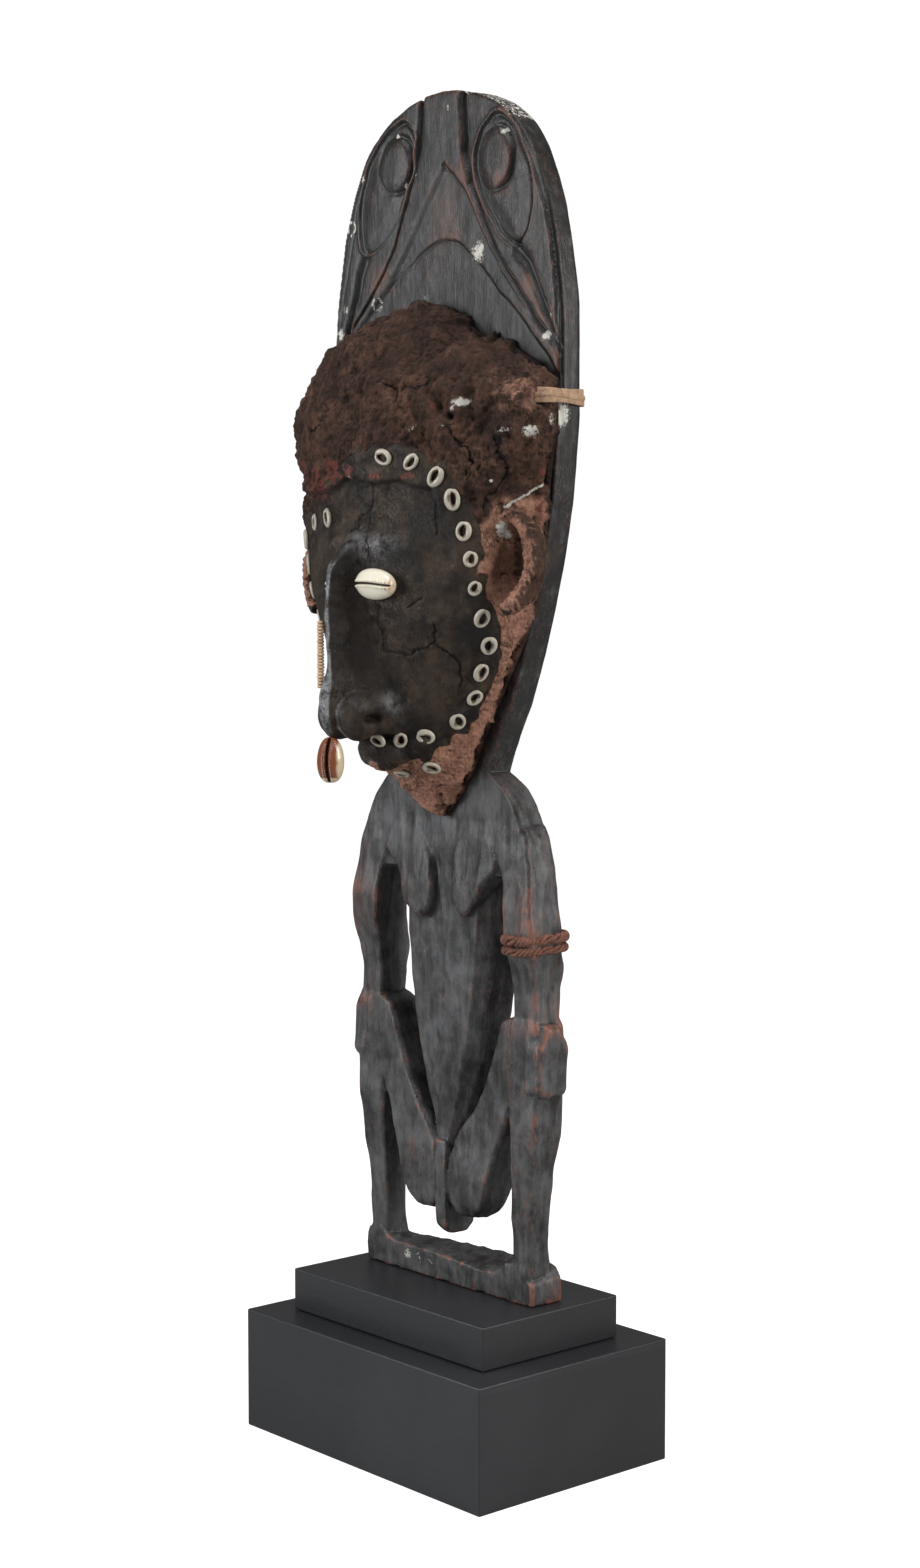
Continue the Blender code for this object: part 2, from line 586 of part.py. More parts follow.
def main():
    clear_scene()
    parts = new_collection("sepik_figure")
    cutters = new_collection("sepik_figure_cutters", hidden=True)
    black_paint = new_material("satin black paint", (0.012, 0.013, 0.014), 0.42)
    dark_wood = new_material("dark worn wood", (0.045, 0.038, 0.034), 0.55)
    paste = new_material("brown modelled paste", (0.085, 0.052, 0.038), 0.80)
    ring_shell = new_material("cut shell", (0.55, 0.50, 0.42), 0.38)
    eye_shell = new_material("cream cowrie", (0.80, 0.76, 0.62), 0.25)
    brown_shell = new_material("brown cowrie", (0.22, 0.075, 0.030), 0.15)
    beads = new_material("shell disc beads", (0.60, 0.42, 0.27), 0.55)
    cane = new_material("split cane", (0.52, 0.33, 0.20), 0.60)
    plait = new_material("plaited fibre", (0.28, 0.12, 0.075), 0.80)
    lower_height, upper_height = PLINTH_LOWER[2], PLINTH_UPPER[2]
    upper_middle = lower_height + GAP + upper_height / 2
    box("plinth_lower_block", PLINTH_LOWER, (0, 0, lower_height / 2), parts, black_paint, PLINTH_EDGE)
    box("plinth_upper_block", PLINTH_UPPER, (0, 0, upper_middle), parts, black_paint, PLINTH_EDGE)
    make_figure(parts, cutters, dark_wood)
    head = make_head(parts, cutters, paste)
    bpy.context.view_layer.update()
    skin = BVHTree.FromObject(head, bpy.context.evaluated_depsgraph_get())
    place_shells(parts, ring_shell, skin)
    place_eyes(parts, eye_shell, skin)
    place_hangings(parts, brown_shell, beads)
    place_tie(parts, cane)
    place_armband(parts, plait)


main()
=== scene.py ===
"""Looks for a seated wooden spirit figure with a modelled mask head, on a two-step black plinth.

Metres, +Z up. The figure faces -Y and its left side is +X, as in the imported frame. Tables are in
millimetres. On the head, a place is given as (turn, height): degrees from straight ahead towards
the figure's left, and millimetres above the floor.
"""

import logging
from collections.abc import Callable
from dataclasses import dataclass
from enum import Enum

import bpy
import numpy as np
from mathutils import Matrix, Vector
from mathutils.bvhtree import BVHTree


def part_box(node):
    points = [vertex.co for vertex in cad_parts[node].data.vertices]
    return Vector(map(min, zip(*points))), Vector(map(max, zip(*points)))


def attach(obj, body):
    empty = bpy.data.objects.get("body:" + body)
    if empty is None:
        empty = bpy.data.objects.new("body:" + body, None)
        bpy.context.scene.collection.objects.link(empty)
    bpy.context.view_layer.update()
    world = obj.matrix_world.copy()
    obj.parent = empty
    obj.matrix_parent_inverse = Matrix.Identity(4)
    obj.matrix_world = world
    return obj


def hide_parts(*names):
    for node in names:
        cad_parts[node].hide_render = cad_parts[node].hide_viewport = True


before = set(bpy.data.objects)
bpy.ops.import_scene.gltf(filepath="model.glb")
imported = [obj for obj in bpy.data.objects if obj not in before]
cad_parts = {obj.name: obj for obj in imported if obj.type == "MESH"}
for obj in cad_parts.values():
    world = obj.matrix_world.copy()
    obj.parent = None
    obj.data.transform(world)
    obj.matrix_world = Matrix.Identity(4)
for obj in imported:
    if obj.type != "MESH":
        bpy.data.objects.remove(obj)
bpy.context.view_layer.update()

LOG = logging.getLogger("sepik_figure")
MM = 0.001
HEAD_BACK = -8.3 * MM
CHART_SCALE = 1.25
WAVES = 26
RIDER = "root"

UP = np.array([0.0, 0.0, 1.0])

Array = np.ndarray
Table = tuple[tuple[float, ...], ...]
Colour = tuple[float, float, float]


class Side(Enum):
    """The figure's own left and right, as the sign of X."""

    LEFT = 1
    RIGHT = -1


# Numbers on arrays.


def smoothstep(low: float, high: float, value: Array) -> Array:
    """Rise from 0 at low to 1 at high on the curve 3t^2 - 2t^3."""
    t = np.clip((value - low) / (high - low), 0.0, 1.0)
    return t * t * (3.0 - 2.0 * t)


def unit(vectors: Array) -> Array:
    """Return vectors, (..., k), at length one."""
    return vectors / np.linalg.norm(vectors, axis=-1, keepdims=True)


def bell(distance: Array, width: float | Array) -> Array:
    """A smooth bump, exp(-(distance / width)^2)."""
    return np.exp(-((distance / width) ** 2))


def monotone(table: Table, column: int, levels: Array) -> Array:
    """Read a column of a level table on a monotone cubic through its rows.

    Args:
        table: rows whose first number is the level.
        column: which number of each row is read.
        levels: where to read it.

    Returns:
        One value for each level, with no overshoot between rows.
    """
    rows = np.array(sorted(table), float)
    place, value = rows[:, 0], rows[:, column]
    step = np.diff(place)
    slope = np.diff(value) / step
    tangent = np.zeros_like(value)
    same_way = slope[:-1] * slope[1:] > 0
    middle = 2 * slope[:-1] * slope[1:] / (slope[:-1] + slope[1:] + 1e-30)
    tangent[1:-1][same_way] = middle[same_way]
    tangent[0], tangent[-1] = slope[0], slope[-1]
    levels = np.clip(levels, place[0], place[-1])
    i = np.clip(np.searchsorted(place, levels) - 1, 0, len(place) - 2)
    t = (levels - place[i]) / step[i]
    ends = value[i] * (1 + 2 * t) * (1 - t) ** 2 + value[i + 1] * t**2 * (3 - 2 * t)
    return ends + step[i] * t * (1 - t) * (tangent[i] * (1 - t) - tangent[i + 1] * t)


def lumps(
    points: Array, length: float, seed: int, stretch: tuple[float, float, float] = (1, 1, 1)
) -> Array:
    """Seeded smooth noise: the sum of plane waves in random directions.

    Args:
        points: (n, 3) places.
        length: the mean wave length, in metres.
        seed: picks the waves.
        stretch: how many times longer the waves are along X, Y and Z.

    Returns:
        Values mostly from -1.5 to 1.5, with a mean near 0.
    """
    maker = np.random.default_rng(seed)
    way = unit(maker.normal(size=(WAVES, 3)))
    way *= 2 * np.pi / length * maker.uniform(0.7, 1.4, (WAVES, 1)) / np.array(stretch)
    start = maker.uniform(0, 2 * np.pi, WAVES)
    return np.cos(points @ way.T + start).sum(1) * np.sqrt(2 / WAVES) * 0.8


def scallops(points: Array, cell: tuple[float, float, float], seed: int) -> Array:
    """Tool marks: the squared distance to the nearest of one jittered seed in each box of a grid.

    Args:
        points: (n, 3) places.
        cell: the size of a box of the grid.
        seed: picks the jitter.

    Returns:
        0 in the bed of each scallop, rising to about 0.5 on the ridges between them.
    """
    place = points / np.array(cell)
    base = np.floor(place).astype(np.int64)
    best = np.full(len(points), 9.0)
    for shift in np.ndindex(3, 3, 3):
        box = base + np.array(shift) - 1
        mixed = box @ np.array([73856093, 19349663, 83492791]) + seed * 7919
        jitter = np.stack([np.abs(np.sin(mixed * f)) * 0.8 + 0.1 for f in (0.731, 1.137, 1.913)], 1)
        best = np.minimum(best, ((box + jitter - place) ** 2).sum(1))
    return np.minimum(best, 0.8)


def line_field(
    spots: Array, line: Table, closed: bool = False, margin: float = 25.0
) -> tuple[Array, Array]:
    """Measure flat spots against a polyline.

    Args:
        spots: (n, 2) places in millimetres.
        line: the polyline's corners.
        closed: whether its last corner joins its first.
        margin: how far round the line it is measured; beyond that the distance is 1000.

    Returns:
        The distance to the line with its sign, positive on its left, and how far along it (0 to 1).
    """
    corners = np.array(line, float)
    if closed:
        corners = np.vstack([corners, corners[:1]])
    distance = np.full(len(spots), 1e3)
    share = np.zeros(len(spots))
    low, high = corners.min(0) - margin, corners.max(0) + margin
    near = np.flatnonzero(((spots > low) & (spots < high)).all(1))
    start, way = corners[:-1], np.diff(corners, axis=0)
    size = (way**2).sum(1) + 1e-12
    offset = spots[near][:, None, :] - start[None]
    t = np.clip((offset * way).sum(2) / size, 0.0, 1.0)
    gap = offset - t[..., None] * way
    reach = np.sqrt((gap**2).sum(2))
    k = reach.argmin(1)
    rows = np.arange(len(near))
    side = np.sign(way[k, 0] * offset[rows, k, 1] - way[k, 1] * offset[rows, k, 0])
    distance[near] = reach[rows, k] * np.where(side == 0, 1.0, side)
    share[near] = (k + t[rows, k]) / len(way)
    return distance, share


def inside_field(spots: Array, outline: Table) -> Array:
    """Measure how far flat spots lie inside a closed outline, as a positive distance inside it."""
    distance = np.abs(line_field(spots, outline, closed=True)[0])
    corners = np.array(outline, float)
    following = np.roll(corners, -1, axis=0)
    crossings = np.zeros(len(spots), int)
    for (x0, y0), (x1, y1) in zip(corners, following):
        spans = (y0 > spots[:, 1]) != (y1 > spots[:, 1])
        crossings += spans & (spots[:, 0] < x0 + (spots[:, 1] - y0) * (x1 - x0) / (y1 - y0 + 1e-12))
    return np.where(crossings % 2 == 1, distance, -distance)


def smooth_line(corners: Table, count: int, closed: bool = False) -> Array:
    """Round a polyline by a Catmull-Rom spline.

    Args:
        corners: the places it passes through, of 2 or 3 numbers.
        count: how many places to return.
        closed: whether it comes back to its start.

    Returns:
        (count, 2 or 3) places along the curve.
    """
    knots = np.array(corners, float)
    spans = len(knots) if closed else len(knots) - 1
    place = np.linspace(0.0, spans, count, endpoint=not closed)
    i = np.minimum(place.astype(int), spans - 1)
    t = (place - i)[:, None]

    def knot(index: Array) -> Array:
        """Pick knots, going round or stopping at the ends."""
        return knots[index % len(knots)] if closed else knots[np.clip(index, 0, len(knots) - 1)]

    a, b, c, d = knot(i - 1), knot(i), knot(i + 1), knot(i + 2)
    return (
        0.5
        * (
            2 * b + (c - a) * t + (2 * a - 5 * b + 4 * c - d) * t**2
            + (3 * b - a - 3 * c + d) * t**3
        )
    )


# Skins.


@dataclass
class Skin:
    """A closed triangle skin: its points (n, 3), and the three corners of each triangle (m, 3)."""

    points: Array
    faces: Array

    def edges(self) -> Array:
        """Return each edge once, as (k, 2) corner numbers."""
        pairs = np.concatenate(
            [self.faces[:, [0, 1]], self.faces[:, [1, 2]], self.faces[:, [2, 0]]]
        )
        return np.unique(np.sort(pairs, axis=1), axis=0)

    def outward(self) -> "Skin":
        """Return the skin with its faces turned outwards, by the sign of its volume."""
        a, b, c = (self.points[self.faces[:, k]] for k in range(3))
        volume = (a * np.cross(b, c)).sum()
        return Skin(self.points, self.faces if volume > 0 else self.faces[:, ::-1])

    def mirrored(self) -> "Skin":
        """Return the skin mirrored in X, still facing outwards."""
        return Skin(self.points * (-1, 1, 1), self.faces[:, ::-1])

    def normals(self) -> Array:
        """Return each point's normal, the sum of its faces' normals by their area."""
        a, b, c = (self.points[self.faces[:, k]] for k in range(3))
        flat = np.cross(b - a, c - a)
        total = np.zeros_like(self.points)
        for k in range(3):
            for axis in range(3):
                total[:, axis] += np.bincount(self.faces[:, k], flat[:, axis], len(self.points))
        return total / np.maximum(np.linalg.norm(total, axis=1, keepdims=True), 1e-12)

    def spread(self, values: Array, passes: int, edges: Array) -> Array:
        """Blur values over the skin, each pass taking the mean of a point's neighbours.

        Args:
            values: (n,) or (n, k) numbers at the points.
            passes: how many times.
            edges: the skin's edges.

        Returns:
            The blurred values.
        """
        count = len(self.points)
        ends = np.concatenate([edges[:, 0], edges[:, 1]])
        others = np.concatenate([edges[:, 1], edges[:, 0]])
        share = 1.0 / np.maximum(np.bincount(ends, minlength=count), 1)
        columns = values.reshape(count, -1).copy()
        for _ in range(passes):
            for k in range(columns.shape[1]):
                mean = np.bincount(ends, columns[others, k], count) * share
                columns[:, k] = 0.5 * (columns[:, k] + mean)
        return columns.reshape(values.shape)

    def edge_field(self, passes: int) -> Array:
        """Return how strongly the skin bends at each point: positive on edges."""
        edges = self.edges()
        mean = self.spread(self.points, 2, edges)
        bend = ((self.points - mean) * self.normals()).sum(1)
        return self.spread(bend, passes, edges) / MM

    def modified(self, kind: str, **settings: object) -> "Skin":
        """Return the skin after one of Blender's modifiers.

        Args:
            kind: the modifier's type.
            **settings: the modifier's own settings.

        Returns:
            A new skin of triangles.
        """
        thing = self.to_object("working_skin")
        step = thing.modifiers.new(kind.lower(), kind)
        for name, value in settings.items():
            setattr(step, name, value)
        graph = bpy.context.evaluated_depsgraph_get()
        mesh = bpy.data.meshes.new_from_object(thing.evaluated_get(graph))
        mesh.calc_loop_triangles()
        points = np.empty(len(mesh.vertices) * 3, np.float32)
        faces = np.empty(len(mesh.loop_triangles) * 3, np.int32)
        mesh.vertices.foreach_get("co", points)
        mesh.loop_triangles.foreach_get("vertices", faces)
        old = thing.data
        bpy.data.objects.remove(thing, do_unlink=True)
        bpy.data.meshes.remove(old)
        bpy.data.meshes.remove(mesh)
        return Skin(points.reshape(-1, 3).astype(float), faces.reshape(-1, 3))

    def to_object(self, name: str) -> bpy.types.Object:
        """Make a smooth-shaded mesh object of the skin, with its place in its mesh.

        Args:
            name: the object's name.

        Returns:
            The object, linked to the scene.
        """
        mesh = bpy.data.meshes.new(name)
        mesh.vertices.add(len(self.points))
        mesh.vertices.foreach_set("co", self.points.astype(np.float32).ravel())
        mesh.loops.add(self.faces.size)
        mesh.loops.foreach_set("vertex_index", self.faces.astype(np.int32).ravel())
        mesh.polygons.add(len(self.faces))
        mesh.polygons.foreach_set("loop_start", np.arange(0, self.faces.size, 3, dtype=np.int32))
        mesh.update(calc_edges=True)
        mesh.validate()
        mesh.shade_smooth()
        thing = bpy.data.objects.new(name, mesh)
        bpy.context.scene.collection.objects.link(thing)
        return thing


def modelled(blank: Skin, carve: Callable[[Skin], Skin], voxel: float, most: int) -> Skin:
    """Run overlapping forms into one skin, carve it, and thin it.

    Args:
        blank: the forms.
        carve: cuts the relief.
        voxel: the remesher's cell, in millimetres.
        most: the most triangles it may keep.

    Returns:
        The finished skin.
    """
    carved = carve(blank.modified("REMESH", mode="VOXEL", voxel_size=voxel * MM))
    return carved.modified("DECIMATE", ratio=min(1.0, most / len(carved.faces)))


def joined(*skins: Skin) -> Skin:
    """Put several skins into one, without merging them."""
    shifts = np.cumsum([0] + [len(skin.points) for skin in skins[:-1]])
    faces = [skin.faces + shift for skin, shift in zip(skins, shifts)]
    return Skin(np.vstack([skin.points for skin in skins]), np.vstack(faces))


def grid_faces(rows: int, columns: int, round_rows: bool = False) -> Array:
    """Return the triangles of a grid whose columns go round, and whose rows may go round too."""
    i, j = np.meshgrid(
        np.arange(rows if round_rows else rows - 1), np.arange(columns), indexing="ij",
    )
    a, b = i * columns + j, i * columns + (j + 1) % columns
    c, d = (i + 1) % rows * columns + (j + 1) % columns, (i + 1) % rows * columns + j
    return np.stack([a, b, c, a, c, d], -1).reshape(-1, 3)


def loft(rings: Array) -> Skin:
    """Close a stack of rings, (rows, columns, 3), with a fan of triangles at each end."""
    rows, columns, _ = rings.shape
    points = np.vstack([rings.reshape(-1, 3), rings[0].mean(0), rings[-1].mean(0)])
    j = np.arange(columns)
    following = (j + 1) % columns
    low = np.stack([following, j, np.full(columns, rows * columns)], 1)
    last = (rows - 1) * columns
    high = np.stack([last + j, last + following, np.full(columns, rows * columns + 1)], 1)
    return Skin(points, np.vstack([grid_faces(rows, columns), low, high])).outward()


def ellipsoid(centre: tuple[float, ...], radii: tuple[float, ...]) -> Skin:
    """Make an egg, in millimetres: at swing s its height is radius*cos s, width radius*sin s."""
    swing, turn = np.linspace(0.05, np.pi - 0.05, 26), np.linspace(0, 2 * np.pi, 36)[:-1]
    s, t = np.meshgrid(swing, turn, indexing="ij")
    ball = np.stack([np.sin(s) * np.cos(t), np.sin(s) * np.sin(t), np.cos(s)], -1)
    return loft((ball * np.array(radii) + np.array(centre)) * MM)


def sweep(path: Array, profile: Array, up: Array, closed: bool = False) -> Skin:
    """Carry a profile along a path: place + across * side + tall * rise, both square to the path.

    Args:
        path: (n, 3) places.
        profile: (m, 2) or (n, m, 2) places across and tall.
        up: (3,) or (n, 3) way that the profile's tall side keeps to.
        closed: whether the path comes back to its start.

    Returns:
        The closed skin, with capped ends where the path is open.
    """
    if closed:
        ahead = np.roll(path, -1, axis=0) - np.roll(path, 1, axis=0)
    else:
        ahead = np.gradient(path, axis=0)
    ahead = unit(ahead)
    side = unit(np.cross(ahead, np.broadcast_to(up, ahead.shape)))
    rise = np.cross(side, ahead)
    shape = np.broadcast_to(profile, (len(path), *profile.shape[-2:]))
    rings = path[:, None] + shape[..., :1] * side[:, None] + shape[..., 1:] * rise[:, None]
    if closed:
        rows, columns, _ = rings.shape
        return Skin(rings.reshape(-1, 3), grid_faces(rows, columns, round_rows=True)).outward()
    return loft(rings)


def oval(across: float, tall: float, count: int, power: float = 1.0) -> Array:
    """A closed oval profile, (count, 2); a power under 1 squares its corners."""
    t = np.linspace(0, 2 * np.pi, count, endpoint=False)
    c, s = np.cos(t), np.sin(t)
    return np.stack(
        [across * np.sign(c) * np.abs(c) ** power, tall * np.sign(s) * np.abs(s) ** power], 1,
    )


def add_fields(thing: bpy.types.Object, **fields: Array) -> None:
    """Store named numbers at the points of a mesh, for its material to read."""
    for name, values in fields.items():
        layer = thing.data.attributes.new(name, "FLOAT", "POINT")
        layer.data.foreach_set("value", np.clip(values, -50, 50).astype(np.float32))


# Finishes.


@dataclass(frozen=True)
class Pattern:
    """A number that varies over a material; each sum with it adds a Math node."""

    graph: "Graph"
    socket: bpy.types.NodeSocket

    def __add__(self, other: object) -> "Pattern":
        """Add a pattern or a number."""
        return self.graph.math("ADD", self, other)

    def __sub__(self, other: object) -> "Pattern":
        """Take away a pattern or a number."""
        return self.graph.math("SUBTRACT", self, other)

    def __rsub__(self, other: float) -> "Pattern":
        """Take the pattern away from a number."""
        return self.graph.math("SUBTRACT", other, self)

    def __mul__(self, other: object) -> "Pattern":
        """Multiply by a pattern or a number."""
        return self.graph.math("MULTIPLY", self, other)


class Graph:
    """The nodes of one material, added and joined by short calls."""

    def __init__(self, name: str) -> None:
        """Start a material with its shader and its Object coordinates."""
        self.material = bpy.data.materials.new(name)
        self.material.use_nodes = True
        self.tree = self.material.node_tree
        self.shader = self.tree.nodes["Principled BSDF"]
        self.place = self.node("ShaderNodeTexCoord").outputs["Object"]

    def node(self, kind: str, inputs: dict | None = None, **settings: object) -> bpy.types.Node:
        """Add a node.

        Args:
            kind: the node's type.
            inputs: what goes into its sockets, by name or number: a value or another socket.
            **settings: the node's own settings.

        Returns:
            The node.
        """
        made = self.tree.nodes.new(kind)
        for name, value in settings.items():
            setattr(made, name, value)
        for key, value in (inputs or {}).items():
            self.plug(made.inputs[key], value)
        return made

    def plug(self, target: bpy.types.NodeSocket, value: object) -> None:
        """Join a pattern or a socket to a socket, or set the socket to a value.

        Args:
            target: the socket that is fed.
            value: a pattern, a socket or a value.
        """
        if isinstance(value, Pattern):
            value = value.socket
        if isinstance(value, bpy.types.NodeSocket):
            self.tree.links.new(value, target)
        else:
            target.default_value = value

    def field(self, name: str) -> Pattern:
        """Read numbers stored at the mesh's points."""
        return Pattern(self, self.node("ShaderNodeAttribute", attribute_name=name).outputs["Fac"])

    def math(self, operation: str, a: object, b: object = 0.0, clamp: bool = False) -> Pattern:
        """Do one sum on two numbers, patterns or sockets."""
        made = self.node("ShaderNodeMath", {0: a, 1: b}, operation=operation, use_clamp=clamp)
        return Pattern(self, made.outputs[0])

    def between(self, value: object, low: float, high: float) -> Pattern:
        """Rise from 0 to 1 as the value goes from low to high, smoothly; low may be the greater."""
        inputs = {"Value": value, "From Min": low, "From Max": high}
        made = self.node("ShaderNodeMapRange", inputs, interpolation_type="SMOOTHSTEP")
        return Pattern(self, made.outputs[0])

    def stretched(self, x: float, y: float, z: float) -> bpy.types.NodeSocket:
        """Return the Object coordinates times three numbers."""
        return self.node("ShaderNodeMapping", {"Vector": self.place, "Scale": (x, y, z)}).outputs[0]

    def noise(
        self, scale: float, detail: float = 4.0, rough: float = 0.55, where: object = None
    ) -> Pattern:
        """Add cloudy noise of so many lumps a metre, swinging round a half."""
        inputs = {
            "Vector": where or self.place, "Scale": scale, "Detail": detail, "Roughness": rough,
        }
        return Pattern(self, self.node("ShaderNodeTexNoise", inputs).outputs[0])

    def cells(self, scale: float, where: object) -> Pattern:
        """Add a cell pattern: the distance to the nearest cell wall."""
        inputs = {"Vector": where, "Scale": scale}
        made = self.node("ShaderNodeTexVoronoi", inputs, feature="DISTANCE_TO_EDGE")
        return Pattern(self, made.outputs["Distance"])

    def mix(self, share: object, first: object, second: object) -> bpy.types.NodeSocket:
        """Go from the first colour to the second by a share."""
        made = self.node("ShaderNodeMix", {0: share}, data_type="RGBA")
        for key, value in ((6, first), (7, second)):
            self.plug(made.inputs[key], (*value, 1.0) if isinstance(value, tuple) else value)
        return made.outputs[2]

    def bump(
        self, height: object, distance: float, strength: float, under: object = None
    ) -> bpy.types.NodeSocket:
        """Raise fine relief from a height pattern, on top of another bump."""
        inputs = {"Height": height, "Distance": distance, "Strength": strength}
        if under is not None:
            inputs["Normal"] = under
        return self.node("ShaderNodeBump", inputs).outputs[0]

    def finish(
        self, colour: object, roughness: object, normal: object, **others: object
    ) -> bpy.types.Material:
        """Join the patterns to the shader.

        Args:
            colour: the base colour's socket.
            roughness: a pattern or a number.
            normal: the bump's socket.
            **others: what goes into the shader's other sockets, with _ for a space.

        Returns:
            The material.
        """
        chosen = {"Base_Color": colour, "Roughness": roughness, "Normal": normal, **others}
        for name, value in chosen.items():
            self.plug(self.shader.inputs[name.replace("_", " ")], value)
        return self.material


@dataclass(frozen=True)
class SatinBlackPaint:
    """Black paint on the plinth: brushed level, faintly scratched, dusty and uneven in gloss."""

    colour: Colour = (0.0175, 0.0182, 0.0205)
    dust: Colour = (0.066, 0.068, 0.074)
    roughness: float = 0.36

    def build(self) -> bpy.types.Material:
        """Make the material."""
        g = Graph("satin black paint")
        cloud = g.noise(9.0, 5.0)
        scratch = g.between(g.noise(60.0, 3.0, where=g.stretched(0.05, 0.05, 2.2)), 0.665, 0.70)
        speck = g.between(g.noise(900.0, 1.0), 0.71, 0.78)
        dusty = g.between(cloud, 0.42, 0.75) * 0.16
        marked = dusty + scratch * 0.1
        marked = g.math("ADD", marked, speck * 0.22, clamp=True)
        colour = g.mix(marked, self.colour, self.dust)
        rough = cloud * 0.16 + (self.roughness - 0.06)
        level = g.bump(g.noise(70.0, 2.0, where=g.stretched(1.0, 1.0, 3.0)), 0.0012, 0.10)
        return g.finish(colour, rough, g.bump(g.noise(1400.0, 2.0), 0.0004, 0.12, level))


@dataclass(frozen=True)
class WornWood:
    """Dark handled wood: upright grain, red-brown where edges are rubbed, and old white pigment."""

    dark: Colour = (0.0075, 0.0073, 0.0072)
    light: Colour = (0.112, 0.112, 0.115)
    # Red-brown wear of rubbed edges and flecks on the wood.
    rubbed: Colour = (0.230, 0.088, 0.054)
    board: Colour = (0.0085, 0.0076, 0.0066)
    warm: Colour = (0.080, 0.052, 0.042)
    chalk: Colour = (0.66, 0.64, 0.58)
    # Painted shade: near-black laid into concave places, grooves and hollows, by the edge field.
    cavity_shade: Colour = (0.008, 0.007, 0.0065)

    def build(self) -> bpy.types.Material:
        """Make the material; it reads the fields edge, chalk, rub and board."""
        g = Graph("dark worn wood")
        grain = g.noise(260.0, 7.0, 0.62, g.stretched(1.0, 1.0, 0.07))
        streak = g.noise(70.0, 5.0, 0.6, g.stretched(1.0, 1.0, 0.10))
        patch = g.noise(34.0, 6.0, 0.62)
        fine = g.noise(900.0, 5.0, 0.65, g.stretched(1.0, 1.0, 0.22))
        lines = g.noise(1500.0, 3.0, 0.6, g.stretched(1.0, 1.0, 0.035))
        edge, chalk, rub = g.field("edge"), g.field("chalk"), g.field("rub")
        cloud = g.noise(190.0, 6.0, 0.72, g.stretched(1.0, 1.0, 0.6))
        tone = grain * 0.16 + patch * 0.56 + cloud * 0.38 + lines * 0.10
        colour = g.mix(g.between(tone, 0.46, 0.78), self.dark, self.light)
        board = g.field("board") * g.between(cloud, 0.85, 0.45)
        colour = g.mix(board * 0.92, colour, self.board)
        warmth = g.between(streak + rub * 0.35, 0.54, 0.84) * 0.55
        colour = g.mix(warmth, colour, self.warm)
        worn = edge + (fine - 0.5) * 2.6
        worn += (patch - 0.5) * 2.2
        worn = g.between(worn + rub * 0.8, 0.66, 1.3)
        worn *= 1.0 - g.field("board") * 0.55
        colour = g.mix(worn * 0.78, colour, self.rubbed)
        # Painted shade: concave places are darkened towards near-black.
        cavity_shade_share = g.between(edge, -0.06, -0.55)
        colour = g.mix(cavity_shade_share * 0.9, colour, self.cavity_shade)
        crumbs = chalk + (g.noise(620.0, 4.0, 0.7) - 0.5) * 1.7
        crumbs = g.between(crumbs, 0.48, 0.80)
        flecks = g.between(g.noise(1300.0, 2.0, 0.6, g.stretched(1.0, 1.0, 0.35)), 0.61, 0.70)
        flecks = flecks * g.between(g.noise(48.0, 4.0, 0.6) + (edge + rub) * 0.16, 0.46, 0.62)
        colour = g.mix(flecks * 0.75, colour, self.rubbed)
        colour = g.mix(crumbs, colour, self.chalk)
        rough = patch * 0.24 + crumbs * 0.35
        rough = g.math("ADD", rough, 0.3, clamp=True)
        normal = g.bump(grain * 0.45 + cloud, 0.0009, 0.42)
        normal = g.bump(lines, 0.0004, 0.12, normal)
        normal = g.bump(fine, 0.0004, 0.45, normal)
        normal = g.bump(crumbs, 0.0008, 0.5, normal)
        return g.finish(colour, rough, normal, Specular_IOR_Level=0.42)


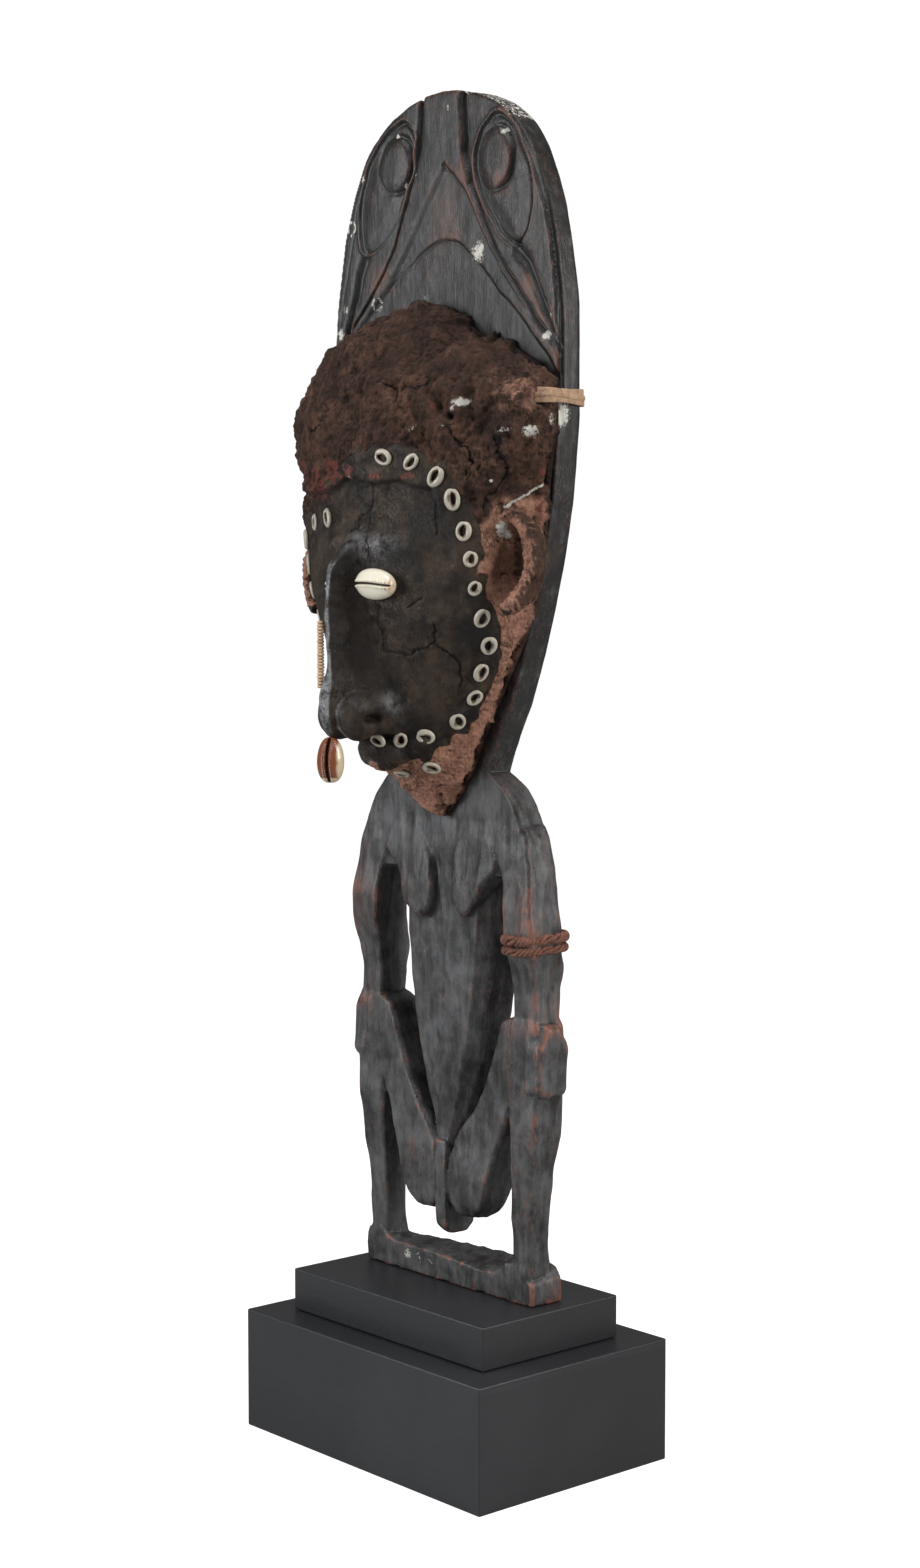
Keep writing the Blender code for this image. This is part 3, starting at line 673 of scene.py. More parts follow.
@dataclass(frozen=True)
class ModelledPaste:
    """The head's paste: a dark rubbed face, fibrous red-brown hair, granular tan jaw and ears."""

    face: Colour = (0.0125, 0.0096, 0.0076)
    face_light: Colour = (0.064, 0.042, 0.027)
    # Painted sheen: grey laid on the face's convex edges.
    painted_sheen: Colour = (0.050, 0.046, 0.043)
    # Painted highlight: pale bluish grey laid on the polished nose ridge, brow and nostril.
    painted_highlight: Colour = (0.320, 0.325, 0.335)
    hair: Colour = (0.150, 0.074, 0.048)
    hair_dark: Colour = (0.0150, 0.0080, 0.0055)
    tan: Colour = (0.490, 0.262, 0.180)
    tan_dark: Colour = (0.215, 0.098, 0.066)
    red: Colour = (0.130, 0.026, 0.022)
    red_light: Colour = (0.20, 0.060, 0.045)
    chalk: Colour = (0.70, 0.68, 0.62)
    # Painted shade: near-black laid into hollows, pits and the nose's side walls.
    cavity_shade: Colour = (0.010, 0.007, 0.0055)
    # Near-black of splits and crazing, also used for the painted shadow along the board.
    split: Colour = (0.006, 0.004, 0.0035)

    def build(self) -> bpy.types.Material:
        """Make the material; it reads every field of the head's mesh."""
        g = Graph("brown modelled paste")
        names = "face", "tan", "red", "chalk", "pit_shade", "rubbed", "edge", "crack", "reach", "seam"
        face, tan, red, chalk, pit_shade, rubbed, edge, crack, reach, seam = map(g.field, names)
        broad = g.noise(38.0, 6.0, 0.6)
        medium = g.noise(150.0, 6.0, 0.62)
        grit = g.noise(700.0, 4.0, 0.65)
        fibre = g.noise(420.0, 6.0, 0.70, g.stretched(1.0, 1.0, 0.62))
        hair_tone = fibre * 0.65 + medium * 0.55
        colour = g.mix(g.between(hair_tone, 0.38, 0.80), self.hair_dark, self.hair)
        colour = g.mix(g.between(broad, 0.62, 0.38) * 0.6, colour, self.hair_dark)
        tan_tone = grit * 0.6 + medium * 0.6
        tan_colour = g.mix(g.between(tan_tone, 0.36, 0.82), self.tan_dark, self.tan)
        soft_tan = g.between(tan + (medium - 0.5) * 0.7, 0.3, 0.75)
        colour = g.mix(soft_tan, colour, tan_colour)
        face_tone = broad * 0.7 + medium * 0.5
        face_colour = g.mix(g.between(face_tone, 0.46, 0.76), self.face, self.face_light)
        # Painted sheen on convex edges of the face; the same share lowers the roughness, a real gloss.
        gloss_and_sheen = g.between(edge + (medium - 0.5) * 1.2, 0.3, 1.0)
        face_colour = g.mix(gloss_and_sheen * 0.75, face_colour, self.painted_sheen)
        soft_face = g.between(face + (grit - 0.5) * 0.5, 0.3, 0.7)
        colour = g.mix(soft_face, colour, face_colour)
        torn = g.noise(230.0, 3.0, 0.6)
        raw = g.between(red + (torn - 0.5) * 3.0, 0.6, 0.84)
        colour = g.mix(raw * 0.9, colour, g.mix(grit, self.red, self.red_light))
        # Painted highlight on the polished places; the same share lowers the roughness below, a real gloss.
        polish_and_highlight = rubbed * g.between(medium, 0.3, 0.62)
        colour = g.mix(polish_and_highlight * 0.85, colour, self.painted_highlight)
        # Painted shade: concave places, deep pits and the nose's side walls are darkened towards near-black.
        cavity_shade_share = g.math("MAXIMUM", g.between(edge, -0.15, -1.0), pit_shade)
        colour = g.mix(cavity_shade_share * 0.8, colour, self.cavity_shade)
        stir = g.node("ShaderNodeTexNoise", {"Scale": 120.0}).outputs[1]
        warp = g.node("ShaderNodeMixRGB", {0: 0.012, 1: g.place, 2: stir}).outputs[0]
        net, small_net = g.cells(58.0, warp), g.cells(240.0, warp)
        gate = g.between(g.noise(26.0, 2.0), 0.38, 0.54)
        craze = g.between(net, 0.045, 0.01) * gate
        craze = g.math("MAXIMUM", craze, g.between(small_net, 0.05, 0.01) * (soft_face * 0.5))
        split = g.between(g.math("ABSOLUTE", crack), 0.52, 0.2) * g.between(reach, 1.6, 1.0)
        dark_line = g.math("MAXIMUM", split, craze * 0.75)
        # Painted shadow: the seam field darkens the paste along the gap at the board.
        dark_line = g.math("MAXIMUM", dark_line, seam)
        colour = g.mix(dark_line * 0.92, colour, self.split)
        crumbs = chalk + (g.noise(560.0, 4.0, 0.7) - 0.5) * 1.7
        crumbs = g.between(crumbs, 0.50, 0.82)
        colour = g.mix(crumbs, colour, self.chalk)
        rough = 0.86 - soft_face * 0.3
        rough = rough - gloss_and_sheen * soft_face * 0.14
        rough = g.math("SUBTRACT", rough, polish_and_highlight * 0.3, clamp=True)
        rest = 1.0 - soft_face
        normal = g.bump(fibre * rest, 0.003, 0.85)
        normal = g.bump(medium, 0.0012, 0.35, normal)
        normal = g.bump(grit, 0.0006, 0.50, normal)
        normal = g.bump(dark_line * -1.0, 0.0012, 0.8, normal)
        return g.finish(colour, rough, normal, Specular_IOR_Level=0.27)


@dataclass(frozen=True)
class CutShell:
    """Worn satin shell of the border rings: cream, browner on the inner wall round the opening and on the
    side towards the head.
    """

    cream: Colour = (0.47, 0.425, 0.345)
    stain: Colour = (0.120, 0.084, 0.058)

    def build(self) -> bpy.types.Material:
        """Make the material; it reads the field that browns the shell."""
        g = Graph("cut shell")
        cloud = g.noise(420.0, 5.0, 0.65)
        browned = g.field("stain") + (cloud - 0.5) * 1.1
        colour = g.mix(g.between(browned, 0.12, 0.90), self.cream, self.stain)
        rough = cloud * 0.3 + 0.22
        return g.finish(colour, rough, g.bump(g.noise(900.0, 3.0), 0.0004, 0.35), Coat_Weight=0.15)


@dataclass(frozen=True)
class GlossyCowrie:
    """A glossy cowrie: its body colour, a blush towards its edges, and painted shade in its slit."""

    name: str
    body: Colour
    blush: Colour
    # Painted shade: the slit groove is darkened as if it opened into the shell's hollow.
    slit: Colour

    def build(self) -> bpy.types.Material:
        """Make the material; it reads the fields slit and blush."""
        g = Graph(self.name)
        cloud = g.noise(170.0, 4.0, 0.6)
        tint = g.field("blush") + (cloud - 0.5) * 0.8
        colour = g.mix(g.between(tint, 0.30, 1.0), self.body, self.blush)
        # Painted shade in the slit.
        colour = g.mix(g.between(g.field("slit"), 0.25, 0.80), colour, self.slit)
        rough = cloud * 0.16 + 0.1
        return g.finish(colour, rough, g.bump(g.noise(600.0, 2.0), 0.0003, 0.12), Coat_Weight=0.4)


@dataclass(frozen=True)
class DryFibre:
    """Dry plant strip: long fibres in two tones, darker where frayed, along the strip's UV map."""

    name: str
    light: Colour
    dark: Colour
    streaks: float

    def build(self) -> bpy.types.Material:
        """Make the material."""
        g = Graph(self.name)
        uv = g.node("ShaderNodeUVMap", uv_map="strip").outputs[0]
        inputs = {"Vector": uv, "Scale": (self.streaks, 2.0, 1.0)}
        along = g.node("ShaderNodeMapping", inputs).outputs[0]
        streak = g.noise(6.0, 6.0, 0.7, along)
        cloud = g.noise(260.0, 4.0, 0.6)
        tone = streak * 0.75 + cloud * 0.4
        colour = g.mix(g.between(tone, 0.38, 0.74), self.dark, self.light)
        normal = g.bump(streak, 0.0010, 0.7)
        return g.finish(colour, 0.72, g.bump(g.noise(900.0, 3.0), 0.0004, 0.4, normal))


@dataclass(frozen=True)
class DiscBead:
    """Dull shell discs, each a little different in tone, darker in the gaps between them."""

    light: Colour = (0.60, 0.41, 0.26)
    dark: Colour = (0.20, 0.105, 0.060)

    def build(self) -> bpy.types.Material:
        """Make the material; it reads the field gap."""
        g = Graph("shell disc beads")
        band = g.noise(300.0, 1.0, where=g.stretched(0.05, 0.05, 1.0))
        tone = g.field("gap") + (band - 0.45) * 1.6
        colour = g.mix(g.between(tone, 0.15, 1.0), self.light, self.dark)
        return g.finish(colour, 0.5, g.bump(g.noise(800.0, 4.0), 0.0005, 0.4))


@dataclass(frozen=True)
class PaleFloor:
    """The studio's plain pale floor."""

    colour: Colour = (0.42, 0.42, 0.42)
    uneven: float = 0.985
    glow: float = 0.94

    def build(self) -> bpy.types.Material:
        """Make the material."""
        g = Graph("pale floor")
        tone = g.mix(g.noise(3.0, 2.0), self.colour, tuple(c * self.uneven for c in self.colour))
        seen = g.math("MULTIPLY", g.node("ShaderNodeLightPath").outputs["Is Camera Ray"], self.glow)
        normal = g.bump(g.noise(90.0, 2.0), 0.0005, 0.03)
        white = (1.0, 1.0, 1.0, 1.0)
        return g.finish(tone, 0.75, normal, Emission_Color=white, Emission_Strength=seen)


# Pieces.


def place_piece(
    piece: bpy.types.Object, material: bpy.types.Material, node: str
) -> None:
    """Dress a piece, make it ride on the one body, and let it stand for a CAD node.

    Args:
        piece: the finished object.
        material: its finish.
        node: the CAD node it replaces.
    """
    piece.data.materials.append(material)
    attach(piece, RIDER)
    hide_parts(node)
    LOG.info("%s: %d triangles", piece.name, len(piece.data.polygons))


def box_middle(node: str) -> Array:
    """Return the middle of a CAD node's box."""
    low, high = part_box(node)
    return np.array((low + high) / 2)


@dataclass
class Plinth:
    """The two painted blocks, which keep their CAD shape and get a full finish."""

    paint: SatinBlackPaint = SatinBlackPaint()
    blocks: tuple[str, ...] = ("plinth_lower_block", "plinth_upper_block")

    def build(self) -> None:
        """Give both blocks the paint."""
        material = self.paint.build()
        for name in self.blocks:
            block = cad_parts[name]
            for slot in block.material_slots:
                slot.material = material
            LOG.info("%s: repainted", name)


@dataclass
class CarvedFigure:
    """The one plank of wood: head board, shoulders, limbs, body and foot bar, with its carving.

    Limb tables hold height, inner edge, outer edge, front and back.
    """

    outline: Table = (
        (370, 35.5), (384, 40.8), (396, 46), (420, 58.2), (452, 70), (490, 81.2), (530, 89.3),
        (580, 93.3), (620, 92.9), (655, 88.4), (682, 82.2), (704, 73.8), (722, 62.5), (735, 47),
        (743, 29), (747, 11), (748, 0.5),
    )
    board_levels: Table = (
        (-8.0, 0.9), (-7.3, 0.0), (-3.0, 0.0), (6.4, 0.0), (8.0, 0.9), (8.8, 2.6),
    )
    board_middle: tuple[float, float] = (0.0, 590.0)
    yoke: Table = (
        (324, 0, 69, -6.9, 14.4), (333, 0, 69, -7.7, 14.4), (341, 0, 67.6, -8.2, 14.4),
        (350, 0, 65.2, -8.2, 14.4), (354, 0, 63.9, -7.8, 14.3), (361, 0, 60.5, -7.8, 14.1),
        (367, 0, 56.3, -7.8, 13.6), (373.5, 0, 50.5, -7.8, 12.8), (379.5, 0, 41.8, -7.8, 11),
    )
    arm: Table = (
        (352, 38, 64, -6.9, 13.8), (345, 40, 66.6, -7.9, 14), (336, 44, 68.6, -9.0, 14.2),
        (320, 51.5, 71.4, -10.2, 15), (305, 53.3, 73.8, -11.7, 15.8),
        (297, 53.8, 74.5, -11.7, 16.2), (286, 54.3, 73.4, -9.8, 17.2),
        (274, 54.8, 71.9, -7.1, 19.8), (262, 55.7, 71.1, -5.6, 17.6), (250, 55.8, 71.6, -5.2, 16.6),
        (238, 55, 72, -5.2, 16),
    )
    shin: Table = (
        (248.5, 53.5, 72.2, -5.6, 15), (244, 45.5, 74.4, -6.2, 16.6), (220, 50, 74.5, -6.6, 16.8),
        (196, 53.3, 74.3, -7, 16.7), (173, 53.3, 71.8, -6.1, 14.6), (150, 53, 68.8, -4.8, 13.9),
        (127, 52.4, 66.9, -4, 13), (104, 52, 67.2, -4.1, 15),
    )
    thigh: Table = (
        (246.2, 50, 62, -5.4, 15), (241.4, 45, 62, -6, 15.5), (206.7, 31.2, 56, -6.2, 15.5),
        (190, 20, 50, -6.6, 15.2), (178.7, 11, 46.2, -7, 14.8), (164, 4.8, 41, -7.8, 14.5),
        (149.4, 2.8, 35.7, -8.3, 13.8), (140, 4, 31.8, -7.7, 13), (134.5, 8, 26.8, -6.2, 11.2),
        (131.8, 12.5, 22, -3.5, 9),
    )
    torso: Table = (
        (335, 0, 44, -7.5, 13.5), (329, 0, 41.5, -7.3, 14.2), (318, 0, 36.5, -7.2, 15.8),
        (300, 0, 33.8, -7.2, 17.6), (280, 0, 32.6, -7.5, 18.6), (252, 0, 29.1, -7.6, 18.8),
        (228, 0, 24.5, -7.4, 18.4), (200, 0, 17.2, -7, 16.4), (182.2, 0, 11.8, -6.6, 14),
        (170, 0, 8, -6.8, 12.2),
    )
    torso_flare: float = 6.2
    corner_allowance: float = 0.42
    chest_left: Table = (
        (46, 331), (40, 322), (32, 311), (26.5, 303.5), (22.7, 301), (17, 302.5), (12, 309),
        (10, 320), (10.5, 332), (14, 342), (22, 351), (38, 352),
    )
    chest_right: Table = (
        (-47, 338), (-42, 331), (-35, 323.5), (-30.5, 313), (-28, 305), (-20, 299.4), (-12, 298.3),
        (-5.5, 304), (-4.2, 318), (-7.1, 331), (-13.8, 342), (-21, 353), (-38, 353),
    )
    hand: Table = (
        (-6.6, 236), (-8.2, 211.5), (-5.6, 207.6), (13.4, 206.8), (15.4, 210), (14.8, 233),
        (8.6, 246.0), (-1.5, 246.5),
    )
    hand_faces: tuple[float, float] = (68.0, 79.0)
    right_hand_raise: float = 4.2
    foot_bar: Table = (
        (-70.2, 108, 103), (-68.4, 112.4, 104.8), (-60.6, 113.3, 106), (-53, 110.5, 106.8),
        (-45.3, 107.6, 107.5), (-16, 107.2, 109.4), (3, 106.6, 110.1), (27.9, 104.9, 111.2),
        (37.8, 105.7, 111.6), (45, 110, 112), (50.8, 113.4, 112.2), (60.5, 112.2, 112),
        (66.4, 105.8, 110.8), (70, 104, 105.2),
    )
    foot_level: float = 92.3
    foot_faces: tuple[float, float] = (-4.4, 17.8)
    tab_half: float = 4.3
    tab: Table = (
        (173.5, -9.0, 12.4), (160, -9.6, 12.7), (140, -9.4, 12.7), (126, -8.6, 12.4),
        (120.6, -3.5, 8.0),
    )
    beak_right: Table = (
        (17.9, 748), (17.9, 737.9), (19.5, 714), (24.0, 696), (29.2, 685.4), (36.5, 670.9),
        (45.2, 656.4), (55.5, 643.9), (65.6, 632.1), (74.1, 622.1), (86, 610), (104, 588),
        (124, 562),
    )
    beak_left: Table = (
        (-15.6, 748), (-16.4, 737.2), (-18.8, 718.7), (-24.6, 701), (-31, 686), (-38.5, 670),
        (-47, 657), (-57, 645), (-68.3, 633.6), (-84, 620), (-102, 604), (-122, 585),
    )
    panel_right: Table = (
        (3.2, 708.1), (11.4, 701.2), (18.7, 693.5), (24.4, 684.9), (30.9, 674.2), (38.1, 661.8),
        (47.6, 648.9), (57, 637.6), (68, 626), (82, 612), (100, 592), (118, 570),
    )
    panel_left: Table = (
        (3.2, 708.1), (-6, 697), (-16.5, 683.5), (-27, 669), (-38, 655.5), (-50, 643.5), (-64, 632),
        (-80, 618), (-98, 602), (-116, 586),
    )
    arch: Table = (
        (-100, 600), (-80, 616), (-64, 630), (-47, 644), (-37.5, 650.3), (-24.6, 657.3),
        (-10.2, 665.6), (4.8, 667.3), (15.5, 664.1), (26, 656.2), (36.5, 645.7), (46.8, 635.8),
        (64.1, 620.8), (74.2, 610.2), (92, 590), (108, 572),
    )
    lid_right: Table = (
        (43.5, 731.7), (36, 727.5), (31.6, 722.9), (26.6, 713.2), (26.8, 699.9), (33.3, 686),
        (42.8, 671.8), (51.5, 663.1), (59.3, 658.7), (67.1, 662.5), (72.4, 673.8), (72.8, 691.8),
        (68.5, 705.2), (60.7, 719), (52.5, 728.3),
    )
    lid_left: Table = (
        (-30.4, 737), (-22.5, 727.4), (-24, 716), (-27.5, 703), (-33, 689.3), (-42, 676.4),
        (-53, 668.8), (-61, 666.5), (-68.2, 668.5), (-71.5, 683.9), (-69.8, 697.7), (-66, 709),
        (-58.1, 721.3), (-46, 732),
    )
    eye_right: tuple[float, float, float, float] = (42.8, 706.9, 14.6, 17.0)
    eye_left: tuple[float, float, float, float] = (-39.5, 713.3, 13.6, 15.6)
    notch_right: Table = ((60.9, 658), (67, 652), (72.5, 643), (79.5, 629.4), (85, 618), (94, 600))
    notch_left: Table = ((-66, 664), (-70, 655), (-74, 643), (-79, 632), (-84, 620), (-92, 604))
    rim_right: Table = (
        (56, 726), (66, 712), (74, 697), (80.8, 680.6), (86.2, 659.6), (90.3, 633.5), (91.5, 605),
        (92.5, 565),
    )
    rim_left: Table = (
        (-56, 726), (-66, 712), (-73, 694), (-76.5, 675.1), (-80, 662), (-84.5, 646.9),
        (-89.3, 626.7), (-91, 605), (-92.5, 565),
    )
    chalk_spots: Table = (
        (29.5, 659.5, 7.0), (-13.6, 638.4, 2.4), (-67.1, 708.5, 2.6), (-45.1, 717.9, 1.6),
        (-38, 729, 1.8), (-21.1, 705.7, 2.2), (7.3, 736.8, 1.8), (49.8, 720.5, 2.6),
        (82.6, 611.1, 3.4), (-82.7, 637.6, 2.8), (-88.2, 623.9, 4.6), (56.8, 733, 4.2),
        (20, 746, 3.5), (86, 621, 1.6),
    )
    chalk_rings: Table = ((-54.1, 638, 3.3), (-78.8, 683.1, 3.2), (-31, 700, 1.8))
    foot_chalk: Table = ((-34, 5.0), (-24, 3.0), (-14, 3.5))
    rubbed_spots: Table = ((4, 682, 17), (47, 694, 8), (-52, 652, 12), (70, 640, 5))
    tool_marks: tuple[float, float, float] = (0.011, 0.011, 0.026)
    voxel: float = 0.85
    most_triangles: int = 190000
    wood: WornWood = WornWood()

    def limb(self, levels: Table, front_cut: float, back_cut: float, whole: bool = False) -> Skin:
        """Loft a limb: at each height an eight-cornered section, a rectangle with cut corners.

        Args:
            levels: height, inner edge, outer edge, front and back.
            front_cut: how much of the two front corners is cut.
            back_cut: how much of the two back corners is cut.
            whole: whether the section spans both sides, with its back wider by the flare.

        Returns:
            The left limb, or the whole body.
        """
        height = np.linspace(levels[0][0], levels[-1][0], 60)
        left, right, front, back = (monotone(levels, column, height) for column in (1, 2, 3, 4))
        if whole:
            left = -right
        flare = self.torso_flare if levels is self.torso else 0.0
        most = 0.45 * np.minimum(right - left, back - front)
        fore, aft = np.minimum(front_cut, most), np.minimum(back_cut, most)
        fuller = self.corner_allowance * np.maximum(aft - 2.7, 0.0) * (not whole)
        right, back = right + fuller, back + fuller
        x = np.stack(
            [left + fore, right - fore, right, right + flare, right + flare - aft,
             left - flare + aft, left - flare, left],
            1,
        )
        y = np.stack(
            [front, front, front + fore, back - aft, back, back, back - aft, front + fore], 1,
        )
        z = np.repeat(height[:, None], 8, 1)
        return loft(np.stack([x, y, z], -1) * MM)

    def slab(self, outline: Table, levels: Table, axis: int, straight: bool = False) -> Skin:
        """Stack a flat outline, drawn in towards its middle by each level's inset.

        Args:
            outline: the closed outline's corners.
            levels: place along the axis, and inset, in order.
            axis: 0 where the outline lies in Y and Z, 1 where it lies in X and Z.
            straight: whether the outline keeps its corners.

        Returns:
            The closed solid.
        """
        flat = np.array(outline, float) if straight else smooth_line(outline, 120, closed=True)
        return self.stack(flat, flat.mean(0), levels, axis)

    def stack(self, flat: Array, middle: Array, levels: Table, axis: int) -> Skin:
        """Stack rings of a flat outline.

        Args:
            flat: (n, 2) places of the outline.
            middle: the place that each ring is drawn in towards.
            levels: place along the axis, and inset, in order.
            axis: which of X, Y and Z is the axis.

        Returns:
            The closed solid.
        """
        reach = np.linalg.norm(flat - middle, axis=1, keepdims=True)
        rings = [
            np.insert(middle + (flat - middle) * (1 - inset / reach), axis, place, axis=1)
            for place, inset in levels
        ]
        return loft(np.array(rings) * MM)

    def board(self) -> Skin:
        """Stack the head board's outline from front to back, with its edges eased."""
        swing = np.linspace(0.0, np.pi / 2, 60)
        foot, top = self.outline[0][0], self.outline[-1][0]
        height = foot + (top - foot) * np.sin(swing) ** 1.15
        half = monotone(self.outline, 1, height)
        rim = np.concatenate([np.stack([half, height], 1), np.stack([-half, height], 1)[::-1]])
        return self.stack(rim, np.array(self.board_middle), self.board_levels, 1)

    def bar(self) -> Skin:
        """Loft the foot bar across, a four-cornered section under each place's two heights."""
        across = np.linspace(self.foot_bar[0][0], self.foot_bar[-1][0], 90)
        front, back = (monotone(self.foot_bar, column, across) for column in (1, 2))
        low = np.full_like(across, self.foot_level)
        near, far = self.foot_faces
        y = np.stack([np.full_like(across, v) for v in (near, far, far, near)], 1)
        z = np.stack([low, low, back, front], 1)
        return loft(np.stack([np.repeat(across[:, None], 4, 1), y, z], -1) * MM)

    def blank(self) -> Skin:
        """Put every form of the figure together as overlapping closed solids."""
        half = [
            self.limb(self.arm, 1.6, 7.5),
            self.limb(self.shin, 1.6, 4.5),
            self.limb(self.thigh, 2.2, 3.2),
        ]
        inner, outer = self.hand_faces
        hand = self.slab(
            self.hand, ((inner, 0.0), (outer - 2.4, 0.0), (outer, 2.6)), 0, straight=True,
        )
        far_hand = hand.mirrored()
        far_hand.points[:, 2] += self.right_hand_raise * MM
        height = np.linspace(self.tab[0][0], self.tab[-1][0], 40)
        front, back = (monotone(self.tab, column, height) for column in (1, 2))
        x = np.broadcast_to(self.tab_half * np.array([-1.0, 1.0, 1.0, -1.0]), (len(height), 4))
        y = np.stack([front, front, back, back], 1)
        tab = loft(np.stack([x, y, np.repeat(height[:, None], 4, 1)], -1) * MM)
        whole = [self.board(), self.bar(), tab, hand, far_hand]
        whole += [
            self.limb(self.yoke, 2.0, 6.0, whole=True), self.limb(self.torso, 5.5, 5.5, whole=True),
        ]
        for outline, lift in ((self.chest_left, 12.0), (self.chest_right, 13.4)):
            lobe = self.slab(
                outline, ((-lift, 2.6), (1.0 - lift, 0.9), (2.6 - lift, 0.0), (0.0, 0.0)), 1,
            )
            slant = np.clip((lobe.points[:, 2] / MM - 312) / 40, 0, 1) * (lift - 7.9)
            lobe.points[:, 1] += np.where(lobe.points[:, 1] < -0.005, slant * MM, 0.0)
            whole.append(lobe)
        return joined(*whole, *half, *(skin.mirrored() for skin in half))

    def relief(self, spots: Array) -> Array:
        """Work out the carving of the board's face.

        Bands and panels are raised or sunk inside their outlines, lines are bell-shaped grooves,
        and each eye is a low pillow in a ring, all as heights over the plain face.

        Args:
            spots: (n, 2) places across and up, in millimetres.

        Returns:
            Height in millimetres, positive towards the viewer.
        """
        x, z = spots.T
        beak = self.beak_right + self.beak_left[::-1]
        panel = self.panel_right + self.panel_left[::-1]
        in_beak, in_panel = inside_field(spots, beak), inside_field(spots, panel)
        high = smoothstep(690, 725, z)
        soft = np.where(x < 3.0, 2.6, 1.0)
        height = 1.3 * smoothstep(-0.4, 2.2, in_beak) - 1.8 * smoothstep(-0.3, 1.3, in_panel / soft)
        for line in (self.beak_right, self.beak_left):
            gap, _ = line_field(spots, line)
            height -= (2.9 + 0.6 * high) * bell(gap, 1.10 + 1.3 * high)
        for line, deep, wide in ((self.panel_right, 1.7, 0.95), (self.panel_left, 0.30, 1.5)):
            gap, _ = line_field(spots, line)
            height -= deep * bell(gap, wide)
        gap, _ = line_field(spots, smooth_line(self.arch, 60), margin=90.0)
        plainer = (0.30 + 0.70 * smoothstep(-40.0, 0.0, x)) * (in_panel > 0)
        height -= (0.9 * smoothstep(1.2, -1.2, gap) + 0.80 * bell(gap, 0.8)) * plainer
        eyes = ((self.lid_right, self.eye_right), (self.lid_left, self.eye_left))
        for lid, (across, level, half, tall) in eyes:
            inside = inside_field(spots, smooth_line(lid, 60, closed=True))
            right_side = smoothstep(-0.1, 0.7, (x - across) / half)
            height += (
                0.75 * bell(inside, 0.9) - 1.1 * smoothstep(0.2, 2.6, inside)
                + 1.1 * smoothstep(3.0, 12.0, inside)
            )
            height -= 2.0 * bell(inside - 1.4, 1.05) * (0.30 + 0.70 * right_side)
            ring = np.hypot((x - across) / half, (z - level) / tall)
            height -= (0.60 + 2.4 * right_side) * bell((ring - 1.0) * half, 0.9 + 0.7 * right_side)
            height += 0.8 * smoothstep(1.0, 0.5, ring)
        for line in (self.notch_right, self.notch_left):
            gap, share = line_field(spots, line)
            height -= 3.3 * bell(gap, 3.6 - 2.6 * share) * (share < 0.999)
        for line, side in ((self.rim_right, -1), (self.rim_left, 1)):
            gap, _ = line_field(spots, line)
            outer = np.where(np.abs(gap) < 100, -gap * side, -1.0)
            height -= (1 - high) * 1.1 * smoothstep(-0.5, 0.8, outer)
            height -= high * 0.55 * np.clip(outer, 0.0, 8.0) + 0.8 * bell(gap, 0.8)
        return height

    def carve(self, skin: Skin) -> Skin:
        """Cut the relief, soften the forms, and add tool marks and splits.

        Args:
            skin: the remeshed blank.

        Returns:
            The carved skin.
        """
        edges = skin.edges()
        points = skin.spread(skin.points, 2, edges)
        skin = Skin(points, skin.faces)
        normal = skin.normals()
        marks = scallops(points, self.tool_marks, 5) - 0.22
        amount = 1.7 * marks + 0.16 * lumps(points, 0.016, 3) + 0.26 * lumps(points, 0.045, 4)
        amount += 0.06 * lumps(points, 0.0042, 6, (1, 1, 7))
        on_board = smoothstep(0.352, 0.39, points[:, 2])
        amount *= 1 - 0.65 * on_board
        spots = (
            points[:, [0, 2]] / MM
            + 0.30 * np.stack([lumps(points, 0.018, 8), lumps(points, 0.018, 9)], 1)
        )
        front = smoothstep(0.25, 0.75, -normal[:, 1]) * smoothstep(0.560, 0.575, points[:, 2])
        chosen = np.flatnonzero(front > 0)
        carved = np.zeros(len(points))
        carved[chosen] = self.relief(spots[chosen]) * front[chosen]
        head = smoothstep(618, 606, spots[:, 1])
        carved = np.where(carved > 0, carved * (1 - head), carved)
        points = points + normal * (amount * MM)[:, None]
        points[:, 1] -= carved * MM
        slot = (
            smoothstep(0.5, 0.9, normal[:, 0]) * smoothstep(560, 575, spots[:, 1])
            * smoothstep(708, 668, spots[:, 1])
        )
        points = points - normal * (2.6 * MM * slot * bell(points[:, 1] / MM + 5.6, 0.9))[:, None]
        dip = bell(spots[:, 0] + 15.8, 1.6) + 0.8 * bell(spots[:, 0] - 20.5, 2.4)
        points[:, 2] -= 1.7 * MM * dip * smoothstep(0.728, 0.74, points[:, 2])
        points[:, 2] = np.maximum(points[:, 2], self.foot_level * MM)
        return Skin(points, skin.faces)

    def fields(self, skin: Skin) -> dict[str, Array]:
        """Work out the fields that the wood's finish reads.

        Args:
            skin: the finished skin.

        Returns:
            edge, the bend of the surface; chalk, old white pigment, and a whitening of the board's
            upward-facing top; rub, where the wood is red-brown; board, which is darker.
        """
        spots = skin.points[:, [0, 2]] / MM
        x, y, z = skin.points.T / MM
        face = smoothstep(-2.0, -5.0, y)
        chalk = np.zeros(len(x))
        for across, level, reach in self.chalk_spots:
            chalk = np.maximum(
                chalk, bell(np.hypot(spots[:, 0] - across, spots[:, 1] - level), reach) * face,
            )
        for across, level, reach in self.chalk_rings:
            away = np.hypot(spots[:, 0] - across, spots[:, 1] - level)
            chalk = np.maximum(chalk, 0.9 * bell(away - reach, 1.1) * face)
